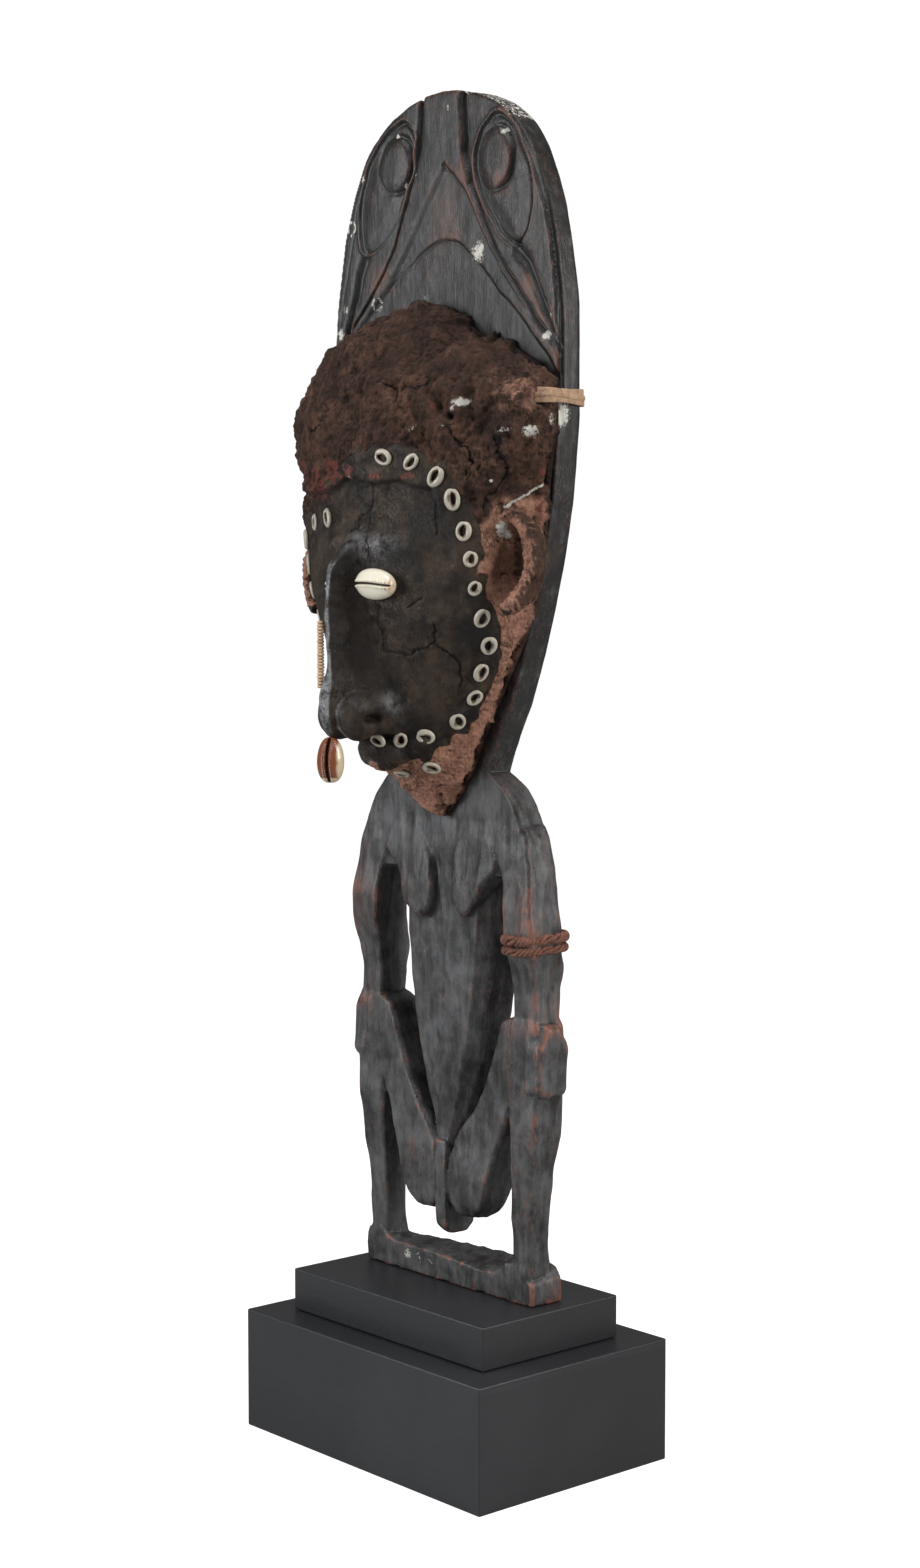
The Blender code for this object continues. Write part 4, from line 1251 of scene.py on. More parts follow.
        # The board's upward-facing top, from 12 to 66 mm across, is whitened as well.
        top = smoothstep(0.30, 0.60, skin.normals()[:, 2]) * (z > 712)
        chalk = np.maximum(chalk, 0.56 * top * smoothstep(12, 24, x) * smoothstep(66, 56, x))
        side = smoothstep(80, 88, x)
        chalk = np.maximum(chalk, side * bell(z - 570, 9) * bell(y + 6, 7))
        for across, reach in self.foot_chalk:
            chalk = np.maximum(chalk, 0.75 * bell(x - across, reach) * bell(z - 102, 5) * face)
        rub = 0.55 * bell(z - 245, 9) * smoothstep(50, 60, np.abs(x))
        rub += 0.8 * bell(x - 53, 4.5) * bell(z - 228, 20) * face
        rub += 0.55 * bell(np.hypot(x + 24, z - 164), 7.0) * face
        rub += 0.35 * bell(z - 310, 22) * face * smoothstep(14, 24, np.abs(x))
        rub += 0.3 * smoothstep(112, 96, z) * smoothstep(40, 66, x)
        rub += 0.42 * bell(x - 60, 9) * smoothstep(105, 130, z) * smoothstep(232, 205, z)
        rub += 0.30 * bell(z - 285, 60) * smoothstep(58, 70, np.abs(x))
        for across, level, reach in self.rubbed_spots:
            rub += 0.9 * bell(np.hypot(x - across, z - level), reach) * face
        edge = skin.edge_field(3) * 9.0
        return {"edge": edge, "chalk": chalk, "rub": rub, "board": smoothstep(365.0, 390.0, z)}

    def build(self) -> None:
        """Carve the figure and dress it."""
        skin = modelled(self.blank(), self.carve, self.voxel, self.most_triangles)
        piece = skin.to_object("carved_wooden_figure")
        add_fields(piece, **self.fields(skin))
        place_piece(piece, self.wood.build(), "carved_figure")


@dataclass
class ModelledHead:
    """The paste head: mask face, long nose, mouth, ears, jaw and hair, moulded against the board.

    Levels hold height, half the width at the board, and how far the head stands out. Dents and
    cracks are placed by turn and height.
    """

    levels: Table = (
        (354.5, 7, 4.5), (360, 13.5, 9.5), (368, 20.5, 16.5), (375, 25.5, 23.5), (383, 30.5, 34.5),
        (392, 35.2, 42), (401, 40, 45.5), (415, 48.5, 50), (431, 57.8, 54.5), (450, 69, 58),
        (470, 79, 61), (490, 84.2, 63), (510, 86.5, 63), (530, 88, 64), (550, 89.5, 64.5),
        (570, 91.2, 61.2), (587, 91.5, 56), (600, 88, 50), (611, 77.5, 43), (620, 61, 35),
        (627, 43, 26.5), (632, 24.5, 17), (634, 10, 8),
    )
    swell: tuple[float, float, float] = (10.0, 566.0, 24.0)
    crown_fall: float = 13.0
    nose: Table = (
        (514, 7.0, -62.0), (507, 6.2, -69.5), (500, 4.6, -77.0), (494, 3.2, -83.5),
        (488, 2.4, -87.2), (480, 2.0, -88.4), (468, 1.8, -88.3), (455, 1.9, -87.9),
        (438, 2.0, -87.2), (431, 3.6, -88.2), (422, 4.4, -90.3), (413, 4.6, -91), (406, 4.0, -89),
        (401.5, 2.6, -85),
    )
    nose_root: float = -38.0
    nose_flare: float = 0.20
    nose_foot: float = 0.75
    lobes: Table = (
        (0, -83.0, 412.6, 5.6, 8.6, 12.6), (8.4, -72.5, 412.3, 8.6, 13.8, 13.4),
        (-8.4, -72.5, 412.3, 8.6, 13.8, 13.4), (13.5, -62, 417, 6.0, 9.0, 6.5),
        (-13.5, -62, 417, 6.0, 9.0, 6.5), (0, -46.5, 393.0, 18.0, 14.5, 12.0),
        (0, -40, 399.0, 30.0, 12.0, 12.0), (84, -20.0, 494, 9.5, 5.5, 23.0),
        (-79.5, -20.0, 494, 9.5, 5.5, 23.0),
    )
    ear: Table = (
        (80.5, -36, 519), (86, -31, 516.5), (91.5, -26.8, 509), (93.8, -25.4, 500),
        (94, -26.2, 490), (91.5, -29.0, 480), (86.5, -32.2, 472), (80, -34.5, 468.5),
    )
    outline: Table = (
        (-2.9, 546.5), (7.9, 552.4), (20.3, 555), (30.6, 554.6), (42.7, 549.5), (51.5, 539),
        (57.1, 531.3), (59, 523.6), (61.6, 515.9), (63.1, 507.1), (64, 494.2), (67.1, 478.7),
        (72.2, 464.7), (76.2, 449.9), (78.1, 435.5), (76.4, 421.5), (70.8, 408.5), (59.8, 399.8),
        (48.3, 393.3), (31.4, 387.7), (13.8, 384), (-13.8, 384), (-31.4, 387.7), (-48.3, 393.3),
        (-59.8, 399.8), (-70.8, 408.5), (-76.4, 421.5), (-78.1, 435.5), (-76.2, 449.9),
        (-72.2, 464.7), (-67.1, 478.7), (-64, 494.2), (-60, 508), (-50, 522), (-35, 531),
        (-20, 534), (-12, 540),
    )
    ledge: Table = (
        (-90, 530), (-60, 526), (-51, 533), (-27, 531.6), (-14.5, 533.3), (-9, 535.7),
        (-3.2, 538.6), (3.5, 537.3), (12.3, 534.9), (23, 535.6), (30.6, 536.5), (36.8, 533),
        (44.7, 531), (47.2, 524), (50, 508), (56, 490), (90, 480),
    )
    dents: Table = (
        (27, 483, 18, 10, -1.6), (-27, 483, 18, 11, -4.2), (10, 480, 6, 14, 1.4),
        (-10, 480, 6, 14, 1.4), (2, 502, 8, 6, 2.2), (-2, 494, 5, 5, 1.4), (19, 503.0, 8, 5.0, 2.6),
        (-19, 503.0, 8, 5.0, 2.6), (33, 501, 9, 5, 1.6), (10, 512, 12, 3, -1.2),
        (40, 458, 26, 22, 1.2), (-40, 458, 26, 22, 1.2), (74, 488, 7.5, 15, -7.0),
        (-74, 488, 7.5, 15, -7.0), (67, 491, 5.5, 6.5, 2.2), (-67, 491, 5.5, 6.5, 2.2),
        (81, 507, 4.5, 6, -3.0), (18, 578, 12, 10, 1.8), (36, 578, 10, 11, 1.6),
        (56, 590, 14, 10, 1.8), (-30, 575, 22, 16, 1.5), (73, 580, 13, 12, 5.5),
        (60, 586, 4.0, 15, -4.0), (63, 565, 7, 5, -2.2), (40, 596, 16, 6, 1.6),
        (20, 600, 14, 4, -1.4), (6, 590, 12, 8, 1.5), (52.7, 568.8, 2.7, 2.7, -6.5),
        (80.5, 578, 4.2, 4.6, -6.5), (84.5, 514, 3.5, 5, -5.0), (47.7, 575, 2.5, 5.5, -3.2),
        (48, 366, 2.2, 4, -2.6), (51.7, 360, 3.0, 2.0, -3.0), (53.7, 398.8, 2.5, 3.5, -1.8),
        (42, 396, 2.5, 2.5, -1.5), (87.8, 535, 2.5, 3, -4.0),
    )
    hollows: Table = (
        (15.6, -70.0, 410.6, 4.5, 5.2, 2.5, -6.0), (-15.6, -70.0, 410.6, 4.5, 5.2, 2.5, -6.0),
        (83, -24.0, 493, 5.0, 4.0, 12.0, -2.0), (-78.5, -24.0, 493, 5.0, 4.0, 12.0, -2.0),
    )
    cracks: tuple[Table, ...] = (
        ((10.3, 585.6), (14, 588.6), (17.9, 587.4), (25.8, 584.2), (27.9, 578.3)),
        ((28.6, 582), (31.5, 585), (34.5, 584.3), (42.1, 583.9), (44, 590)),
        ((52.7, 564.7), (52.4, 558), (56.3, 553.8), (59.5, 551.2), (60.4, 544.5), (58.2, 535.9)),
        ((67, 562), (68.3, 551), (72, 542.4), (71.2, 534.8), (65.7, 524.6), (63.7, 518.9)),
        ((13.6, 536.5), (14.4, 528.1), (11.6, 519.8), (9.7, 508.8), (11.9, 500.4), (13.4, 491.9)),
        ((11.6, 519.8), (6, 518.4), (3, 515.8), (1, 511), (-3.3, 509.1)),
        ((15.2, 474), (18.2, 468.8), (16, 462.9), (18.5, 455.6), (17.2, 449.5), (18.4, 446),
         (24.1, 446.4), (31, 445.1), (39.2, 447.3), (45.3, 450.2), (52.5, 445.8), (58.5, 440.5),
         (60.2, 431.4), (59.6, 420.6)),
        ((41.2, 475.1), (37.4, 472), (32.7, 468.8)), ((45.3, 450.2), (46.2, 456), (45.5, 462.1)),
        ((47.2, 524), (46.4, 515), (47.2, 507.2)), ((-24.9, 567.5), (-32, 564.6), (-39.8, 565.8)),
        ((49.5, 357.8), (53.5, 361.5), (58, 366.5)),
    )
    red_patches: Table = (
        (-13, 542, 10, 7, 1.25), (-30, 537, 16, 10, 1.15), (-55, 541, 16, 10, 1.1),
        (0, 541, 5, 5, 1.0), (18, 538.6, 7, 2.4, 0.9), (34, 537.6, 5, 2.4, 1.1),
        (47, 575, 2.5, 5, 1.1), (85, 540, 5, 9, 0.9), (84, 522, 4, 6, 0.9), (-3, 556, 20, 14, 0.30),
        (48.3, 565, 4, 2, 0.8), (8, 428, 4, 3.5, 0.8), (18, 412, 5, 4, 0.6),
    )
    chalk_patches: Table = (
        (57.0, 576.6, 8.0, 2.8, 1.05), (54.0, 573.0, 3.0, 3.0, 0.9), (70.0, 561.0, 7.0, 2.2, 0.70),
        (71.6, 510.5, 4.2, 6.0, 1.05), (74, 507, 4, 4, 0.9), (77.1, 560, 6.0, 4.4, 0.95),
        (83.4, 566, 4.5, 6.5, 0.95), (67.1, 534.8, 1.4, 1.2, 1.2), (36, 562.7, 6, 3, 0.52),
        (49, 563.5, 5, 2, 0.6), (0, 538.6, 3.0, 2.0, 0.6), (62, 563, 6, 2, 0.5),
        (-3, 503, 3, 1.6, 0.5),
    )
    chalk_streak: Table = ((72.5, 521.5), (75.5, 524.5), (80.9, 529.6), (86, 534.4))
    roughness: tuple[tuple[str, float, float, int], ...] = (
        ("hair", 1.5, 0.034, 21), ("hair", 1.0, 0.014, 22), ("hair", 0.45, 0.006, 23),
        ("hair", 0.28, 0.0030, 24), ("rest", 0.35, 0.022, 25), ("rest", 0.14, 0.007, 26),
        ("jaw", 0.5, 0.013, 27), ("jaw", 0.28, 0.0045, 28), ("jaw", 0.2, 0.0025, 29),
    )
    tan_temple: tuple[float, ...] = (75, 582, 19, 17)
    # Places of painted highlight: on the brow, then on the nostril.
    highlight_brow: Table = ((4, 503, 7, 6, 0.95), (19, 502, 9, 5.5, 0.95))
    highlight_nostril: tuple[float, ...] = (17, 419, 8, 4.0)
    far_ear_shift: float = 4.5
    # Dents at least this deep get painted shade.
    pit_shade_from: float = -4.0
    voxel: float = 0.75
    most_triangles: int = 190000
    paste: ModelledPaste = ModelledPaste()

    def radius(self, turn: Array, height: Array) -> Array:
        """Return how far the plain head reaches, in millimetres.

        It is the radius of an ellipse in turn, whose two half sizes follow the height, with a swell
        at each temple.
        """
        half, depth = monotone(self.levels, 1, height), monotone(self.levels, 2, height)
        angle = np.radians(turn)
        plain = 1.0 / np.sqrt((np.sin(angle) / half) ** 2 + (np.cos(angle) / depth) ** 2)
        amount, middle, spread = self.swell
        return (
            plain
            + amount * bell((90 - np.abs(turn)) / 57.3 - 0.22, 0.20) * bell(height - middle, spread)
        )

    def surface(self, turn: Array, height: Array) -> Array:
        """Return the points of the plain head, in metres."""
        reach = self.radius(turn, height)
        angle = np.radians(turn)
        x = reach * np.sin(angle)
        fall = self.crown_fall * smoothstep(2, 34, x) * smoothstep(568, 618, height)
        return np.stack([x, HEAD_BACK / MM - reach * np.cos(angle), height - fall], -1) * MM

    def chart(self, points: Array) -> Array:
        """Unroll points to (turn, height), with the turn scaled to about millimetres."""
        turn = np.degrees(np.arctan2(points[:, 0], HEAD_BACK - points[:, 1]))
        return np.stack([turn * CHART_SCALE, points[:, 2] / MM], 1)

    def crack_chart(self, points: Array) -> Array:
        """Unroll points as chart does, shaken a little so that lines drawn on it wander."""
        shake = np.stack([lumps(points, 0.0075, 51), lumps(points, 0.0075, 52)], 1)
        fine = np.stack([lumps(points, 0.0028, 53), lumps(points, 0.0028, 54)], 1)
        return self.chart(points) + 0.75 * shake + 0.30 * fine

    def chart_line(self, line: Table) -> Table:
        """Scale the turns of a table of places as the chart does."""
        return tuple((row[0] * CHART_SCALE, row[1]) for row in line)

    def blob(self, points: Array, turn: float, height: float, across: float, tall: float) -> Array:
        """Return a bell round a place of the head, by its sizes across and up."""
        centre = self.surface(np.array([turn]), np.array([height]))[0]
        away = np.hypot(points[:, 0] - centre[0], points[:, 1] - centre[1]) / (across * MM)
        return np.exp(-(away**2) - ((points[:, 2] - centre[2]) / (tall * MM)) ** 2)

    def ball(self, points: Array, row: tuple[float, ...]) -> Array:
        """Return a bell round a place in space: the row holds its middle, then its three sizes."""
        middle, size = np.array(row[:3]) * MM, np.array(row[3:6]) * MM
        return np.exp(-(((points - middle) / size) ** 2).sum(1))

    def over(self, points: Array) -> tuple[Array, Array, Array]:
        """Measure points against the plain head.

        Args:
            points: (n, 3) places.

        Returns:
            Each point's turn, its height, and how far it stands out from the plain head.
        """
        turn, height = self.chart(points).T / np.array([[CHART_SCALE], [1.0]])
        reach = np.hypot(points[:, 0], points[:, 1] - HEAD_BACK) / MM
        return turn, height, reach - self.radius(turn, height)

    def blank(self) -> Skin:
        """Put the plain head, nose, lobes, mouth and ears together as overlapping closed solids."""
        chin, crown = self.levels[0][0], self.levels[-1][0]
        turn, height = np.meshgrid(np.linspace(-90, 90, 140), np.linspace(chin, crown, 150))
        plain = loft(self.surface(turn.ravel(), height.ravel()).reshape(*turn.shape, 3))
        level = np.linspace(self.nose[-1][0], self.nose[0][0], 74)
        half, ridge = monotone(self.nose, 1, level), monotone(self.nose, 2, level)
        share = np.concatenate([np.linspace(0, 1, 18), np.linspace(1, 0, 18)])
        sign = np.repeat([-1.0, 1.0], 18)
        y = self.nose_root + (ridge[:, None] - self.nose_root) * share
        behind = y - ridge[:, None]
        x = (
            sign
            * (half[:, None] + self.nose_flare * behind + self.nose_foot * np.clip(behind - 11.5, 0.0, 12.0))
        )
        bridge = loft(np.stack([x, y, np.broadcast_to(level[:, None], x.shape)], -1) * MM)
        forms = [plain, bridge] + [ellipsoid(row[:3], row[3:]) for row in self.lobes]
        path = smooth_line(self.ear, 60) * MM
        swell = 0.75 + 0.35 * np.sin(np.linspace(0.2, np.pi - 0.2, 60))[:, None, None]
        ear = sweep(path, oval(5.2 * MM, 5.0 * MM, 24) * swell, np.array([1.0, 0.0, 0.0]))
        far_ear = ear.mirrored()
        far_ear.points[:, 0] += self.far_ear_shift * MM
        return joined(*forms, ear, far_ear)

    def carve(self, skin: Skin) -> Skin:
        """Model the paste: soften the joins, sink and raise its features, and crack it.

        Args:
            skin: the remeshed blank.

        Returns:
            The modelled skin.
        """
        edges = skin.edges()
        points = skin.spread(skin.points, 5, edges)
        base = Skin(points, skin.faces)
        normal = base.normals()
        turn, height, proud = self.over(points)
        inside = inside_field(self.chart(points), self.chart_line(self.outline))
        face = smoothstep(-1.5, 1.5, inside)
        on_head = smoothstep(14.0, 8.0, proud)
        amount = np.zeros(len(points))
        for place in self.dents:
            amount += place[4] * self.blob(points, *place[:4]) * on_head
        ledge = np.interp(turn, *np.array(self.ledge).T)
        below = (
            smoothstep(-0.8, 1.2, ledge - height) * smoothstep(500, 522, height)
            * smoothstep(52, 44, np.abs(turn))
        )
        amount -= 3.4 * below * on_head
        cheek = (
            smoothstep(10.5, 14.5, inside) * smoothstep(520, 500, height)
            * smoothstep(20, 40, np.abs(turn))
        )
        amount -= 1.1 * cheek
        amount += 0.9 * bell(inside - 1.5, 3.5) * on_head * smoothstep(420, 520, height)
        hair = (1 - face) * smoothstep(500, 535, height)
        share = {"hair": hair, "rest": 1 - hair, "jaw": (1 - face) * (1 - hair)}
        for where, high, length, seed in self.roughness:
            amount += share[where] * high * lumps(points, length, seed)
        cracked = self.crack_chart(points)
        for line in self.cracks:
            gap, share = line_field(cracked, self.chart_line(line))
            ends = smoothstep(0.0, 0.06, share) * smoothstep(1.0, 0.94, share)
            amount -= 0.85 * bell(gap, 0.60) * ends * on_head
            amount += 0.25 * bell(np.abs(gap) - 1.5, 0.8) * ends * on_head
        for row in self.hollows:
            amount += row[6] * self.ball(points, row)
        slope = (
            smoothstep(0.35, 0.8, -normal[:, 2]) * bell(height - 389, 6)
            * smoothstep(24, 16, np.abs(points[:, 0]) / MM)
        )
        amount += 0.35 * np.cos(points[:, 0] / MM * 2.4) * slope
        seam = smoothstep(9.0, 1.0, (HEAD_BACK - points[:, 1]) / MM)
        amount -= seam * (1.6 + 1.4 * lumps(points, 0.018, 31) + 0.7 * lumps(points, 0.006, 32))
        amount = np.where(normal[:, 1] > 0.7, 0.0, amount)
        points = points + normal * (amount * MM)[:, None]
        points[:, 1] = np.minimum(points[:, 1], HEAD_BACK)
        return Skin(points, skin.faces)

    def fields(self, skin: Skin) -> dict[str, Array]:
        """Work out the fields that the paste's finish reads.

        Args:
            skin: the finished skin.

        Returns:
            face, tan, red and chalk, where each tone lies; edge, the bend of the surface; crack and
            reach, the signed and plain distance to the nearest crack; pit_shade, painted shade in deep
            dents, hollows and the nose's side walls; rubbed, a painted highlight where the
            face is polished, which also lowers its roughness; seam, a painted shadow along the gap at
            the board.
        """
        points = skin.points
        chart = self.chart(points)
        turn, height, reach_out = self.over(points)
        inside = inside_field(chart, self.chart_line(self.outline))
        snout = smoothstep(4.0, 8.0, reach_out) * (np.abs(turn) < 40) * smoothstep(402, 405, height)
        wobble = 1.6 * lumps(points, 0.012, 41)
        face = np.maximum(smoothstep(-2.2, 2.2, inside + wobble), snout)
        low = (
            smoothstep(520, 504, height)
            + smoothstep(62, 74, np.abs(turn)) * smoothstep(536, 518, height)
        )
        tan = np.clip(low, 0, 1) * (1 - face)
        lip = (
            bell(height - 390, 9) * smoothstep(30, 16, np.abs(points[:, 0]) / MM)
            * (points[:, 1] < -0.05)
        )
        tan = np.maximum(tan, 0.35 * lip)
        tan = np.maximum(tan, 0.62 * self.blob(points, *self.tan_temple))
        red, chalk = np.zeros(len(points)), np.zeros(len(points))
        for row in self.red_patches:
            red = np.maximum(red, row[4] * self.blob(points, *row[:4]))
        for row in self.chalk_patches:
            chalk = np.maximum(chalk, row[4] * self.blob(points, *row[:4]))
        streak, _ = line_field(chart, self.chart_line(self.chalk_streak))
        chalk = np.maximum(chalk, 0.95 * bell(streak, 1.0))
        crack, reach = np.full(len(points), 50.0), np.full(len(points), 50.0)
        cracked = self.crack_chart(points)
        for line in self.cracks:
            gap, share = line_field(cracked, self.chart_line(line))
            closer = (np.abs(gap) < reach) & (share > 0.01) & (share < 0.99)
            crack, reach = np.where(closer, gap, crack), np.where(closer, np.abs(gap), reach)
        # Painted shadow: the paste is darkened where it comes within a few millimetres of the board.
        proud = (HEAD_BACK - points[:, 1]) / MM + 0.8 * lumps(points, 0.009, 44)
        seam = smoothstep(4.0, 1.4, proud) * 0.95
        edge = skin.edge_field(3) * 8.0
        edge = np.where(edge > 0, edge * (1 - 0.75 * smoothstep(512, 522, height)), edge)
        # Painted shade: deep dents, the hollows and the nose's side walls are marked to be darkened.
        pit_shade = np.zeros(len(points))
        for row in self.dents:
            if row[4] <= self.pit_shade_from:
                pit_shade = np.maximum(pit_shade, self.blob(points, *row[:4]) ** 1.5)
        for row in self.hollows:
            pit_shade = np.maximum(pit_shade, 1.8 * self.ball(points, row))
        normal = skin.normals()
        # The nose's side walls, which face across, get painted shade too.
        wall = (
            smoothstep(0.40, 0.75, np.abs(normal[:, 0])) * smoothstep(2.0, 6.0, reach_out)
            * smoothstep(425, 440, height)
        )
        pit_shade = np.maximum(pit_shade, 1.0 * wall)
        # Painted highlight: the far-out nose ridge where it faces -Y, the brow and the nostril.
        rubbed = (
            smoothstep(0.45, 0.80, -normal[:, 1]) * smoothstep(11.0, 15.0, reach_out)
            * smoothstep(9, 5, np.abs(points[:, 0]) / MM)
        )
        for *place, amount in self.highlight_brow:
            rubbed = np.maximum(rubbed, amount * self.blob(points, *place))
        nostril = self.blob(points, *self.highlight_nostril) * (points[:, 0] > 0)
        rubbed = np.maximum(rubbed, 0.9 * nostril)
        return {
            "face": face, "pit_shade": np.clip(pit_shade, 0, 1), "rubbed": rubbed, "tan": tan, "red": red,
            "chalk": chalk, "edge": edge, "crack": np.clip(crack, -6, 6),
            "reach": np.minimum(reach, 6), "seam": seam,
        }

    def build(self) -> BVHTree:
        """Model the head and dress it.

        Returns:
            Its skin, as a tree that the shells are laid on.
        """
        skin = modelled(self.blank(), self.carve, self.voxel, self.most_triangles)
        piece = skin.to_object("modelled_mask_head")
        add_fields(piece, **self.fields(skin))
        place_piece(piece, self.paste.build(), "modelled_head")
        return BVHTree.FromPolygons(skin.points.tolist(), skin.faces.tolist())


@dataclass
class Laying:
    """Lays small pieces on the head, where the CAD has them."""

    head: ModelledHead
    skin: BVHTree
    ray_start: float = 0.02
    ray_length: float = 0.06
    ray_steps: tuple[float, float] = (3.2, 3.8)
    plain_share: float = 0.6

    def facing(self, node: str) -> tuple[Vector, Array]:
        """Find how the plain head lies under a CAD node.

        Args:
            node: the CAD node that the piece replaces.

        Returns:
            The middle of the node's box, and three rows: across, out and up at that place.
        """
        low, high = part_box(node)
        middle = (low + high) / 2
        turn = np.degrees(np.arctan2(middle.x, HEAD_BACK - middle.y))
        near = self.head.surface(np.array([turn, turn + 1.5, turn - 1.5, turn, turn]),
                                 middle.z / MM + np.array([0.0, 0.0, 0.0, 2.0, -2.0]))
        out = unit(np.cross(near[1] - near[2], near[3] - near[4]))
        if out @ (near[0] - np.array([0.0, HEAD_BACK, near[0][2]])) < 0:
            out = -out
        across = unit(np.cross(out, UP))
        return middle, np.stack([across, out, np.cross(across, out)])

    def seat(self, node: str) -> tuple[Array, Array]:
        """Find the place on the modelled head under a CAD node, from the mean of nine rays.

        Args:
            node: the CAD node that the piece replaces.

        Returns:
            The point of the head's skin, and three rows: across, out and up at that point.
        """
        middle, (across, out, up) = self.facing(node)
        found, normals = [], []
        for side, rise in np.ndindex(3, 3):
            wide, tall = self.ray_steps
            aside = (across * (side - 1) * wide + up * (rise - 1) * tall) * MM
            start = np.array(middle) + out * self.ray_start + aside
            hit, normal, _, _ = self.skin.ray_cast(Vector(start), -Vector(out), self.ray_length)
            if hit is not None:
                found.append(np.array(hit))
                normals.append(np.array(normal))
        out = unit(self.plain_share * out + np.mean(normals, axis=0))
        across = unit(np.cross(out, up))
        return np.mean(found, axis=0), np.stack([across, out, np.cross(across, out)])


@dataclass
class ShellBorder:
    """The ring-cut shells that edge the face: cream oval rings, thicker on one side."""

    laying: Laying
    half_across: float = 4.6
    half_long: float = 6.0
    wall: float = 1.55
    sizes: tuple[float, ...] = (
        0.90, 0.84, 1.00, 1.00, 0.87, 0.80, 0.77, 0.90, 0.96, 0.92, 0.88, 0.90, 0.95, 0.82, 0.86,
        0.92, 0.85,
    )
    lift: float = 0.5
    rolls_left: tuple[float, ...] = (
        70, -48, -35, 4, -8, -14, -28, -20, 2, -10, -35, 24, 72, -20, 60, 62, 80,
    )
    rolls_right: tuple[float, ...] = (24, 20, 8, 0, 10, 12, 20, 24, 36, 50, 70)
    counts: tuple[int, int] = (44, 16)
    shell: CutShell = CutShell()

    def ring(self, seed: int) -> tuple[Array, Array]:
        """Work out one shell in its own across, out and up.

        The middle of the wall follows an oval at swing s; the wall's own oval at roll r is added
        across the ring and outwards, wider on one side and pinched at one end.

        Args:
            seed: picks its small differences.

        Returns:
            (turns, sides, 3) points, and how brown each is.
        """
        maker = np.random.default_rng(900 + seed)
        a, b = (
            self.half_across * maker.uniform(0.9, 1.08), self.half_long * maker.uniform(0.9, 1.06)
        )
        s = np.linspace(0, 2 * np.pi, self.counts[0], endpoint=False)[:, None]
        r = np.linspace(0, 2 * np.pi, self.counts[1], endpoint=False)[None]
        heavy = maker.uniform(-0.6, 0.6) + (np.pi if seed % 2 else 0.0)
        wide = self.wall * (1 + 0.22 * np.cos(s - heavy) - 0.34 * bell(np.abs(s - np.pi / 2), 0.35))
        wide = wide * (1 + 0.05 * np.cos(13 * s) * (np.cos(r) < 0))
        tall = 1.35 * (1 + 0.18 * np.cos(s - heavy) - 0.30 * bell(np.abs(s - np.pi / 2), 0.35))
        inner = np.cos(r)
        x = (a - self.wall) * np.cos(s) + wide * inner * np.cos(s)
        z = (b - self.wall) * np.sin(s) + wide * inner * np.sin(s)
        y = tall * (np.sin(r) + 0.12) + 0.0 * s
        # Browner on the inner wall round the opening and on the side towards the head.
        stain = (
            smoothstep(0.1, -0.9, inner + 0.25 * np.sin(3 * s + seed))
            + 0.9 * smoothstep(0.2, -0.6, np.sin(r)) + 0 * s
        )
        return np.stack([x, y, z], -1), stain

    def build(self) -> None:
        """Lay every border shell on the head."""
        material = self.shell.build()
        for label, rolls in (("left", self.rolls_left), ("right", self.rolls_right)):
            for number, roll in enumerate(rolls, start=1):
                node = f"border_shell_{label}_{number:02d}"
                point, axes = self.laying.seat(node)
                ring, stain = self.ring(number + (40 if label == "right" else 0))
                turn = np.radians(roll)
                x, y, z = ring[..., 0], ring[..., 1], ring[..., 2]
                turned = np.stack(
                    [x * np.cos(turn) + z * np.sin(turn), y, z * np.cos(turn) - x * np.sin(turn)],
                    -1,
                )
                turned = turned * self.sizes[number - 1] + np.array([0.0, self.lift, 0.0])
                placed = point + turned.reshape(-1, 3) @ axes * MM
                skin = Skin(placed, grid_faces(*self.counts, round_rows=True)).outward()
                piece = skin.to_object(f"ring_shell_{label}_{number:02d}")
                add_fields(piece, stain=stain.ravel())
                place_piece(piece, material, node)


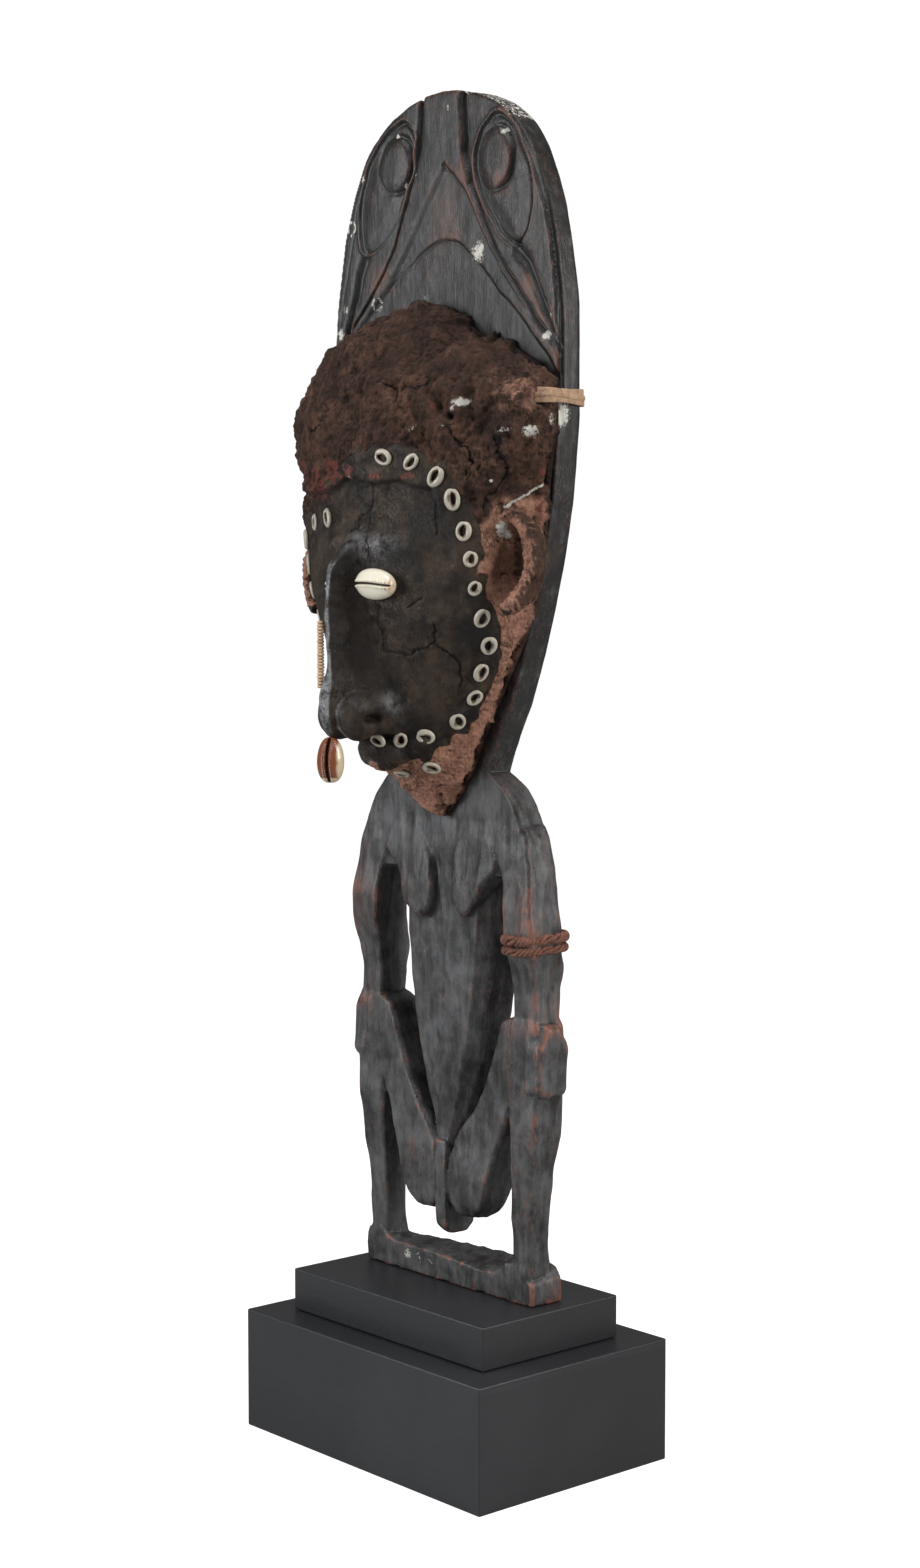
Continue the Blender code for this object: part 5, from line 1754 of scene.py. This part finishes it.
@dataclass(frozen=True)
class Cowrie:
    """A whole cowrie in its long, out and cross ways: a plump egg with a curved, toothed slit."""

    long: float
    deep: float
    cross: float
    slit_width: float = 0.62
    slit_depth: float = 2.2
    teeth: float = 0.20
    tooth_pitch: float = 1.15
    counts: tuple[int, int] = (120, 110)

    def shape(self) -> tuple[Array, Array, Array]:
        """Work out the cowrie.

        Along its length at swing s, half its width is sin(s)^0.8 of the full one and fuller at one
        end; the slit is a bell-shaped groove on a bowed line, and the teeth are a wave on its lips.

        Returns:
            (rows, columns, 3) points in millimetres, the slit's depth share, and the blush.
        """
        rows, columns = self.counts
        s = np.linspace(0.04, np.pi - 0.04, rows)[:, None]
        t = np.linspace(0, 2 * np.pi, columns, endpoint=False)[None]
        roll = t - 0.72 * np.sin(t)
        width = np.sin(s) ** 0.80 * (1 + 0.07 * np.cos(s))
        along = self.long * np.cos(s) + 0 * roll
        cross = self.cross * width * np.sin(roll)
        flat = np.where(np.cos(roll) > 0, 0.86, 1.0)
        out = self.deep * width * np.cos(roll) * flat
        ventral = (
            smoothstep(0.1, 0.5, np.cos(roll)) * smoothstep(1.0, 0.90, np.abs(along) / self.long)
        )
        bow = 0.13 * self.cross * np.cos(np.pi * along / (2 * self.long))
        off = cross - bow
        wave = np.cos(2 * np.pi * along / self.tooth_pitch)
        slit = bell(off, self.slit_width) * ventral
        lips = bell(np.abs(off) - 2.3 * self.slit_width, 1.5 * self.slit_width) * ventral
        out = out - self.slit_depth * slit + self.teeth * lips * wave + 0.35 * lips
        blush = smoothstep(0.45, 1.0, np.abs(along) / self.long) * 0.6 + 0.35 * lips * (wave < 0)
        return np.stack([along, out, cross], -1), slit, blush

    def skin(self, centre: Array, axes: Array) -> tuple[Skin, Array, Array]:
        """Place the cowrie.

        Args:
            centre: its middle, in metres.
            axes: three rows, its long, out and cross ways.

        Returns:
            The closed skin, with its slit and blush at each point.
        """
        points, slit, blush = self.shape()
        made = loft(centre + points @ axes * MM)
        return made, np.append(slit.ravel(), [0, 0]), np.append(blush.ravel(), [1, 1])


@dataclass
class EyeShells:
    """The cream cowrie set in each eye, its slit lying across.

    Inward and back are how far the left and the right one are let in from the CAD place.
    """

    laying: Laying
    cowrie: Cowrie = Cowrie(long=14.3, deep=7.2, cross=8.3, teeth=0.50, tooth_pitch=1.6)
    inward: tuple[float, float] = (4.6, 7.8)
    back: tuple[float, float] = (4.0, 10.8)
    tilt: float = 2.0
    turn_out: float = 12.0
    finish: GlossyCowrie = GlossyCowrie(
        "cream cowrie", (0.83, 0.78, 0.63), (0.50, 0.30, 0.15), (0.035, 0.022, 0.015),
    )

    def build(self) -> None:
        """Set both eyes."""
        material = self.finish.build()
        for side, inward, back in zip(Side, self.inward, self.back):
            label = side.name.lower()
            node = f"eye_cowrie_{label}"
            _, axes = self.laying.facing(node)
            tilt = np.radians(self.tilt * side.value)
            swing = np.radians(self.turn_out * side.value)
            across, out, up = axes
            out = out * np.cos(swing) + across * np.sin(swing)
            across = np.cross(out, up)
            long = across * np.cos(tilt) + up * np.sin(tilt)
            cross = np.cross(long, out)
            centre = box_middle(node) + np.array([-inward * side.value, back, 0.0]) * MM
            skin, slit, blush = self.cowrie.skin(centre, np.stack([long * side.value, out, cross]))
            piece = skin.to_object(f"cream_eye_cowrie_{label}")
            add_fields(piece, slit=slit, blush=blush)
            place_piece(piece, material, node)


@dataclass
class NoseHangings:
    """The brown cowrie below the nose tip and the strand of thin disc beads beside the ridge."""

    pendant: Cowrie = Cowrie(
        long=12.2, deep=6.6, cross=7.3, slit_width=1.0, slit_depth=2.6, teeth=0.25,
    )
    facing: float = 36.0
    strand_discs: int = 21
    strand_sides: int = 20
    finish: GlossyCowrie = GlossyCowrie(
        "brown cowrie", (0.200, 0.058, 0.022), (0.62, 0.50, 0.34), (0.016, 0.008, 0.006),
    )
    beads: DiscBead = DiscBead()

    def hang_cowrie(self) -> None:
        """Hang the cowrie on its end, its slit upright and turned to the figure's left."""
        middle = box_middle("nose_pendant_cowrie")
        turn = np.radians(self.facing)
        out = np.array([np.sin(turn), -np.cos(turn), 0.0])
        long = np.array([0.0, 0.0, -1.0])
        axes = np.stack([long, out, np.cross(long, out)])
        skin, slit, _ = self.pendant.skin(middle, axes)
        offset = (skin.points - middle) / MM
        rim = smoothstep(0.3, 0.95, -(offset @ axes[2]) / self.pendant.cross)
        base = smoothstep(0.60, 0.95, -offset[:, 2] / self.pendant.long)
        piece = skin.to_object("brown_pendant_cowrie")
        add_fields(piece, slit=slit, blush=np.maximum(rim, base) * 1.3)
        place_piece(piece, self.finish.build(), "nose_pendant_cowrie")

    def string_beads(self) -> None:
        """Turn the strand: its radius rises and falls once a disc, as the root of a half wave."""
        low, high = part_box("nose_bead_strand")
        rows = self.strand_discs * 8 + 1
        place = np.linspace(0, self.strand_discs, rows)
        wave = np.abs(np.sin(np.pi * place)) ** 0.5
        maker = np.random.default_rng(71)
        sizes = maker.uniform(0.9, 1.06, self.strand_discs + 1)
        size = sizes[np.minimum(place.astype(int), self.strand_discs)]
        radius = (high.x - low.x) / 2 * (0.62 + 0.44 * wave) * size
        swing = np.linspace(0, 2 * np.pi, self.strand_sides, endpoint=False)
        height = high.z - (high.z - low.z) * place / self.strand_discs
        x = (low.x + high.x) / 2 + 0.0010 + radius[:, None] * np.cos(swing)
        y = (low.y + high.y) / 2 + radius[:, None] * np.sin(swing)
        skin = loft(np.stack([x, y, np.broadcast_to(height[:, None], x.shape)], -1))
        gap = np.repeat(1 - wave, self.strand_sides)
        piece = skin.to_object("disc_bead_strand")
        add_fields(piece, gap=np.append(gap, [1, 1]))
        place_piece(piece, self.beads.build(), "nose_bead_strand")

    def build(self) -> None:
        """Make both hangings."""
        self.hang_cowrie()
        self.string_beads()


def add_strip_map(piece: bpy.types.Object, rows: int, columns: int) -> None:
    """Give a swept piece a UV map: across its profile in U, and along its path in V.

    Args:
        piece: a piece made of one or more swept skins of the same size.
        rows: places along each path.
        columns: places round each profile.
    """
    mesh = piece.data
    layer = mesh.uv_layers.new(name="strip")
    corner = np.empty(len(mesh.loops), np.int32)
    mesh.loops.foreach_get("vertex_index", corner)
    size = rows * columns + 2 if len(mesh.vertices) % (rows * columns) else rows * columns
    number, local = corner // size, corner % size
    across = np.abs((local % columns) / columns - 0.5) * 2
    values = np.stack([across + number * 1.7, local // columns / rows * 6.0], 1)
    layer.data.foreach_set("uv", values.astype(np.float32).ravel())


@dataclass
class CaneTie:
    """Flat cane strips from the paste round the board's left edge, that end split behind."""

    line: Table = (
        (90.5, -27), (98.4, -22.5), (99.8, -17), (99.2, -12), (97.6, -5), (95.8, 1), (94.6, 6.5),
        (92.2, 9.8), (85, 10.6),
    )
    height: float = 578.5
    strips: Table = ((1.9, 2.1, 0.0), (-1.6, 1.9, 0.35), (0.2, 1.2, 0.75))
    thickness: float = 0.55
    rows: int = 90
    columns: int = 16
    cane: DryFibre = DryFibre("split cane", (0.62, 0.42, 0.27), (0.24, 0.125, 0.070), 7.0)

    def build(self) -> None:
        """Sweep each strip along the tie's line, a little apart in height and lift."""
        skins = []
        share = np.linspace(0, 1, self.rows)
        for rise, half, lift in self.strips:
            flat = smooth_line(self.line, self.rows)
            way = unit(np.gradient(flat, axis=0))
            outward = np.stack([way[:, 1], -way[:, 0]], 1)
            flat = flat + outward * lift * np.sign(outward[:, :1] + 1e-9)
            level = self.height + rise * (1 + 0.35 * share) + 0.35 * np.sin(7 * share + rise)
            path = np.column_stack([flat, level]) * MM
            profile = oval(self.thickness * MM, half * MM, self.columns, 0.6)
            taper = (1 - 0.35 * smoothstep(0.85, 1.0, share))[:, None, None]
            skins.append(sweep(path, profile * taper, UP))
        piece = joined(*skins).to_object("split_cane_tie")
        add_strip_map(piece, self.rows, self.columns)
        place_piece(piece, self.cane.build(), "cane_tie")


@dataclass
class PlaitedBand:
    """Two bands of twisted fibre round the figure's left arm, the upper one braided thicker."""

    bands: Table = ((2.9, 1.60, 11.0, 1.9), (-3.0, 1.30, 9.0, 1.5))
    rows: int = 260
    columns: int = 10
    plies: int = 3
    fibre: DryFibre = DryFibre("plaited fibre", (0.30, 0.122, 0.076), (0.055, 0.020, 0.013), 5.0)

    def build(self) -> None:
        """Carry each ply along a rounded ring round the arm, circling the ring's own line."""
        low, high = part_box("plaited_armband")
        middle, half = box_middle("plaited_armband"), np.array(high - low) / 2
        swing = np.linspace(0, 2 * np.pi, self.rows, endpoint=False)
        c, s = np.cos(swing), np.sin(swing)
        skins = []
        for rise, radius, twists, orbit in self.bands:
            ring = np.stack([np.sign(c) * np.abs(c) ** 0.55 * (half[0] - 1.6 * MM),
                             np.sign(s) * np.abs(s) ** 0.55 * (half[1] - 1.6 * MM)], 1)
            ring = 0.5 * ring + 0.25 * (np.roll(ring, 2, 0) + np.roll(ring, -2, 0))
            away = unit(ring)
            level = rise + 0.7 * np.sin(swing + 0.6)
            profile = oval(radius * MM, radius * 0.8 * MM, self.columns)
            for ply in range(self.plies):
                turn = twists * swing + 2 * np.pi * ply / self.plies
                flat = ring + away * (0.55 * orbit * MM * np.cos(turn) + 0.4 * MM)[:, None]
                tall = (level + 0.95 * orbit * np.sin(turn)) * MM
                path = np.column_stack([flat, tall]) + middle
                skins.append(sweep(path, profile, UP, closed=True))
        piece = joined(*skins).to_object("plaited_fibre_band")
        add_strip_map(piece, self.rows, self.columns)
        place_piece(piece, self.fibre.build(), "plaited_armband")


@dataclass
class Studio:
    """The pale floor, the soft lights and the camera at the photograph's angle."""

    azimuth: float = 48.73
    pitch: float = 4.21
    distance: float = 1.423
    aim_along: float = 0.0042
    aim_height: float = 0.3718
    lens: float = 59.03
    lights: tuple[tuple[str, tuple[float, float, float], float, float, Colour], ...] = (
        ("right softbox", (1.80, 0.60, 0.95), 1.0, 27.0, (1.0, 0.99, 0.97)),
        ("left softbox", (-0.85, -1.95, 0.85), 1.0, 33.0, (0.96, 0.98, 1.0)),
        ("top softbox", (0.45, -0.40, 2.3), 1.0, 25.0, (1.0, 1.0, 1.0)),
    )
    light_aim: float = 0.38
    room_light: float = 0.17
    room_seen: float = 1.02
    floor_half: float = 8.0
    floor_cells: int = 16
    floor: PaleFloor = PaleFloor()

    def lay_floor(self) -> None:
        """Lay the floor, a wide square of cells."""
        side = np.linspace(-self.floor_half, self.floor_half, self.floor_cells + 1)
        x, y = np.meshgrid(side, side, indexing="ij")
        points = np.stack([x.ravel(), y.ravel(), 0 * x.ravel()], 1)
        number = np.arange(x.size).reshape(x.shape)
        corners = (number[:-1, :-1], number[1:, :-1], number[1:, 1:], number[:-1, 1:])
        quads = np.stack(corners, -1).reshape(-1, 4)
        mesh = bpy.data.meshes.new("pale_floor")
        mesh.from_pydata(points.tolist(), [], quads.tolist())
        mesh.materials.append(self.floor.build())
        floor = bpy.data.objects.new("pale_floor", mesh)
        bpy.context.scene.collection.objects.link(floor)

    def hang_lights(self) -> None:
        """Hang the softboxes, each turned to the figure, in a white room."""
        for name, place, size, power, colour in self.lights:
            lamp = bpy.data.lights.new(name, "AREA")
            lamp.shape = "SQUARE"
            lamp.size, lamp.energy, lamp.color = size, power, colour
            light = bpy.data.objects.new(name, lamp)
            light.location = place
            way = Vector((0.0, 0.0, self.light_aim)) - Vector(place)
            light.rotation_euler = way.to_track_quat("-Z", "Y").to_euler()
            bpy.context.scene.collection.objects.link(light)
        world = bpy.data.worlds.new("white room")
        world.use_nodes = True
        tree = world.node_tree
        back = tree.nodes["Background"]
        ray = tree.nodes.new("ShaderNodeLightPath")
        level = tree.nodes.new("ShaderNodeMapRange")
        level.inputs["To Min"].default_value = self.room_light
        level.inputs["To Max"].default_value = self.room_seen
        tree.links.new(ray.outputs["Is Camera Ray"], level.inputs["Value"])
        tree.links.new(level.outputs[0], back.inputs["Strength"])
        back.inputs["Color"].default_value = (1.0, 1.0, 1.0, 1.0)
        bpy.context.scene.world = world
        bpy.context.scene.view_settings.view_transform = "Standard"

    def set_camera(self) -> None:
        """Stand the camera at the photograph's angle and height."""
        turn, dip = np.radians(self.azimuth), np.radians(self.pitch)
        back = Vector((np.sin(turn) * np.cos(dip), -np.cos(turn) * np.cos(dip), np.sin(dip)))
        aim = Vector(
            (self.aim_along * np.cos(turn), self.aim_along * np.sin(turn), self.aim_height)
        )
        lens = bpy.data.cameras.new("studio camera")
        lens.lens = self.lens
        lens.clip_start, lens.clip_end = 0.05, 50.0
        camera = bpy.data.objects.new("studio camera", lens)
        camera.location = aim + back * self.distance
        camera.rotation_euler = (-back).to_track_quat("-Z", "Y").to_euler()
        bpy.context.scene.collection.objects.link(camera)
        bpy.context.scene.camera = camera

    def build(self) -> None:
        """Set up the studio."""
        self.lay_floor()
        self.hang_lights()
        self.set_camera()


def main() -> None:
    """Build the studio and every piece, in order."""
    logging.basicConfig(level=logging.INFO, format="%(name)s %(message)s")
    Studio().build()
    Plinth().build()
    CarvedFigure().build()
    head = ModelledHead()
    laying = Laying(head, head.build())
    ShellBorder(laying).build()
    EyeShells(laying).build()
    NoseHangings().build()
    CaneTie().build()
    PlaitedBand().build()


if __name__ == "__main__":
    main()
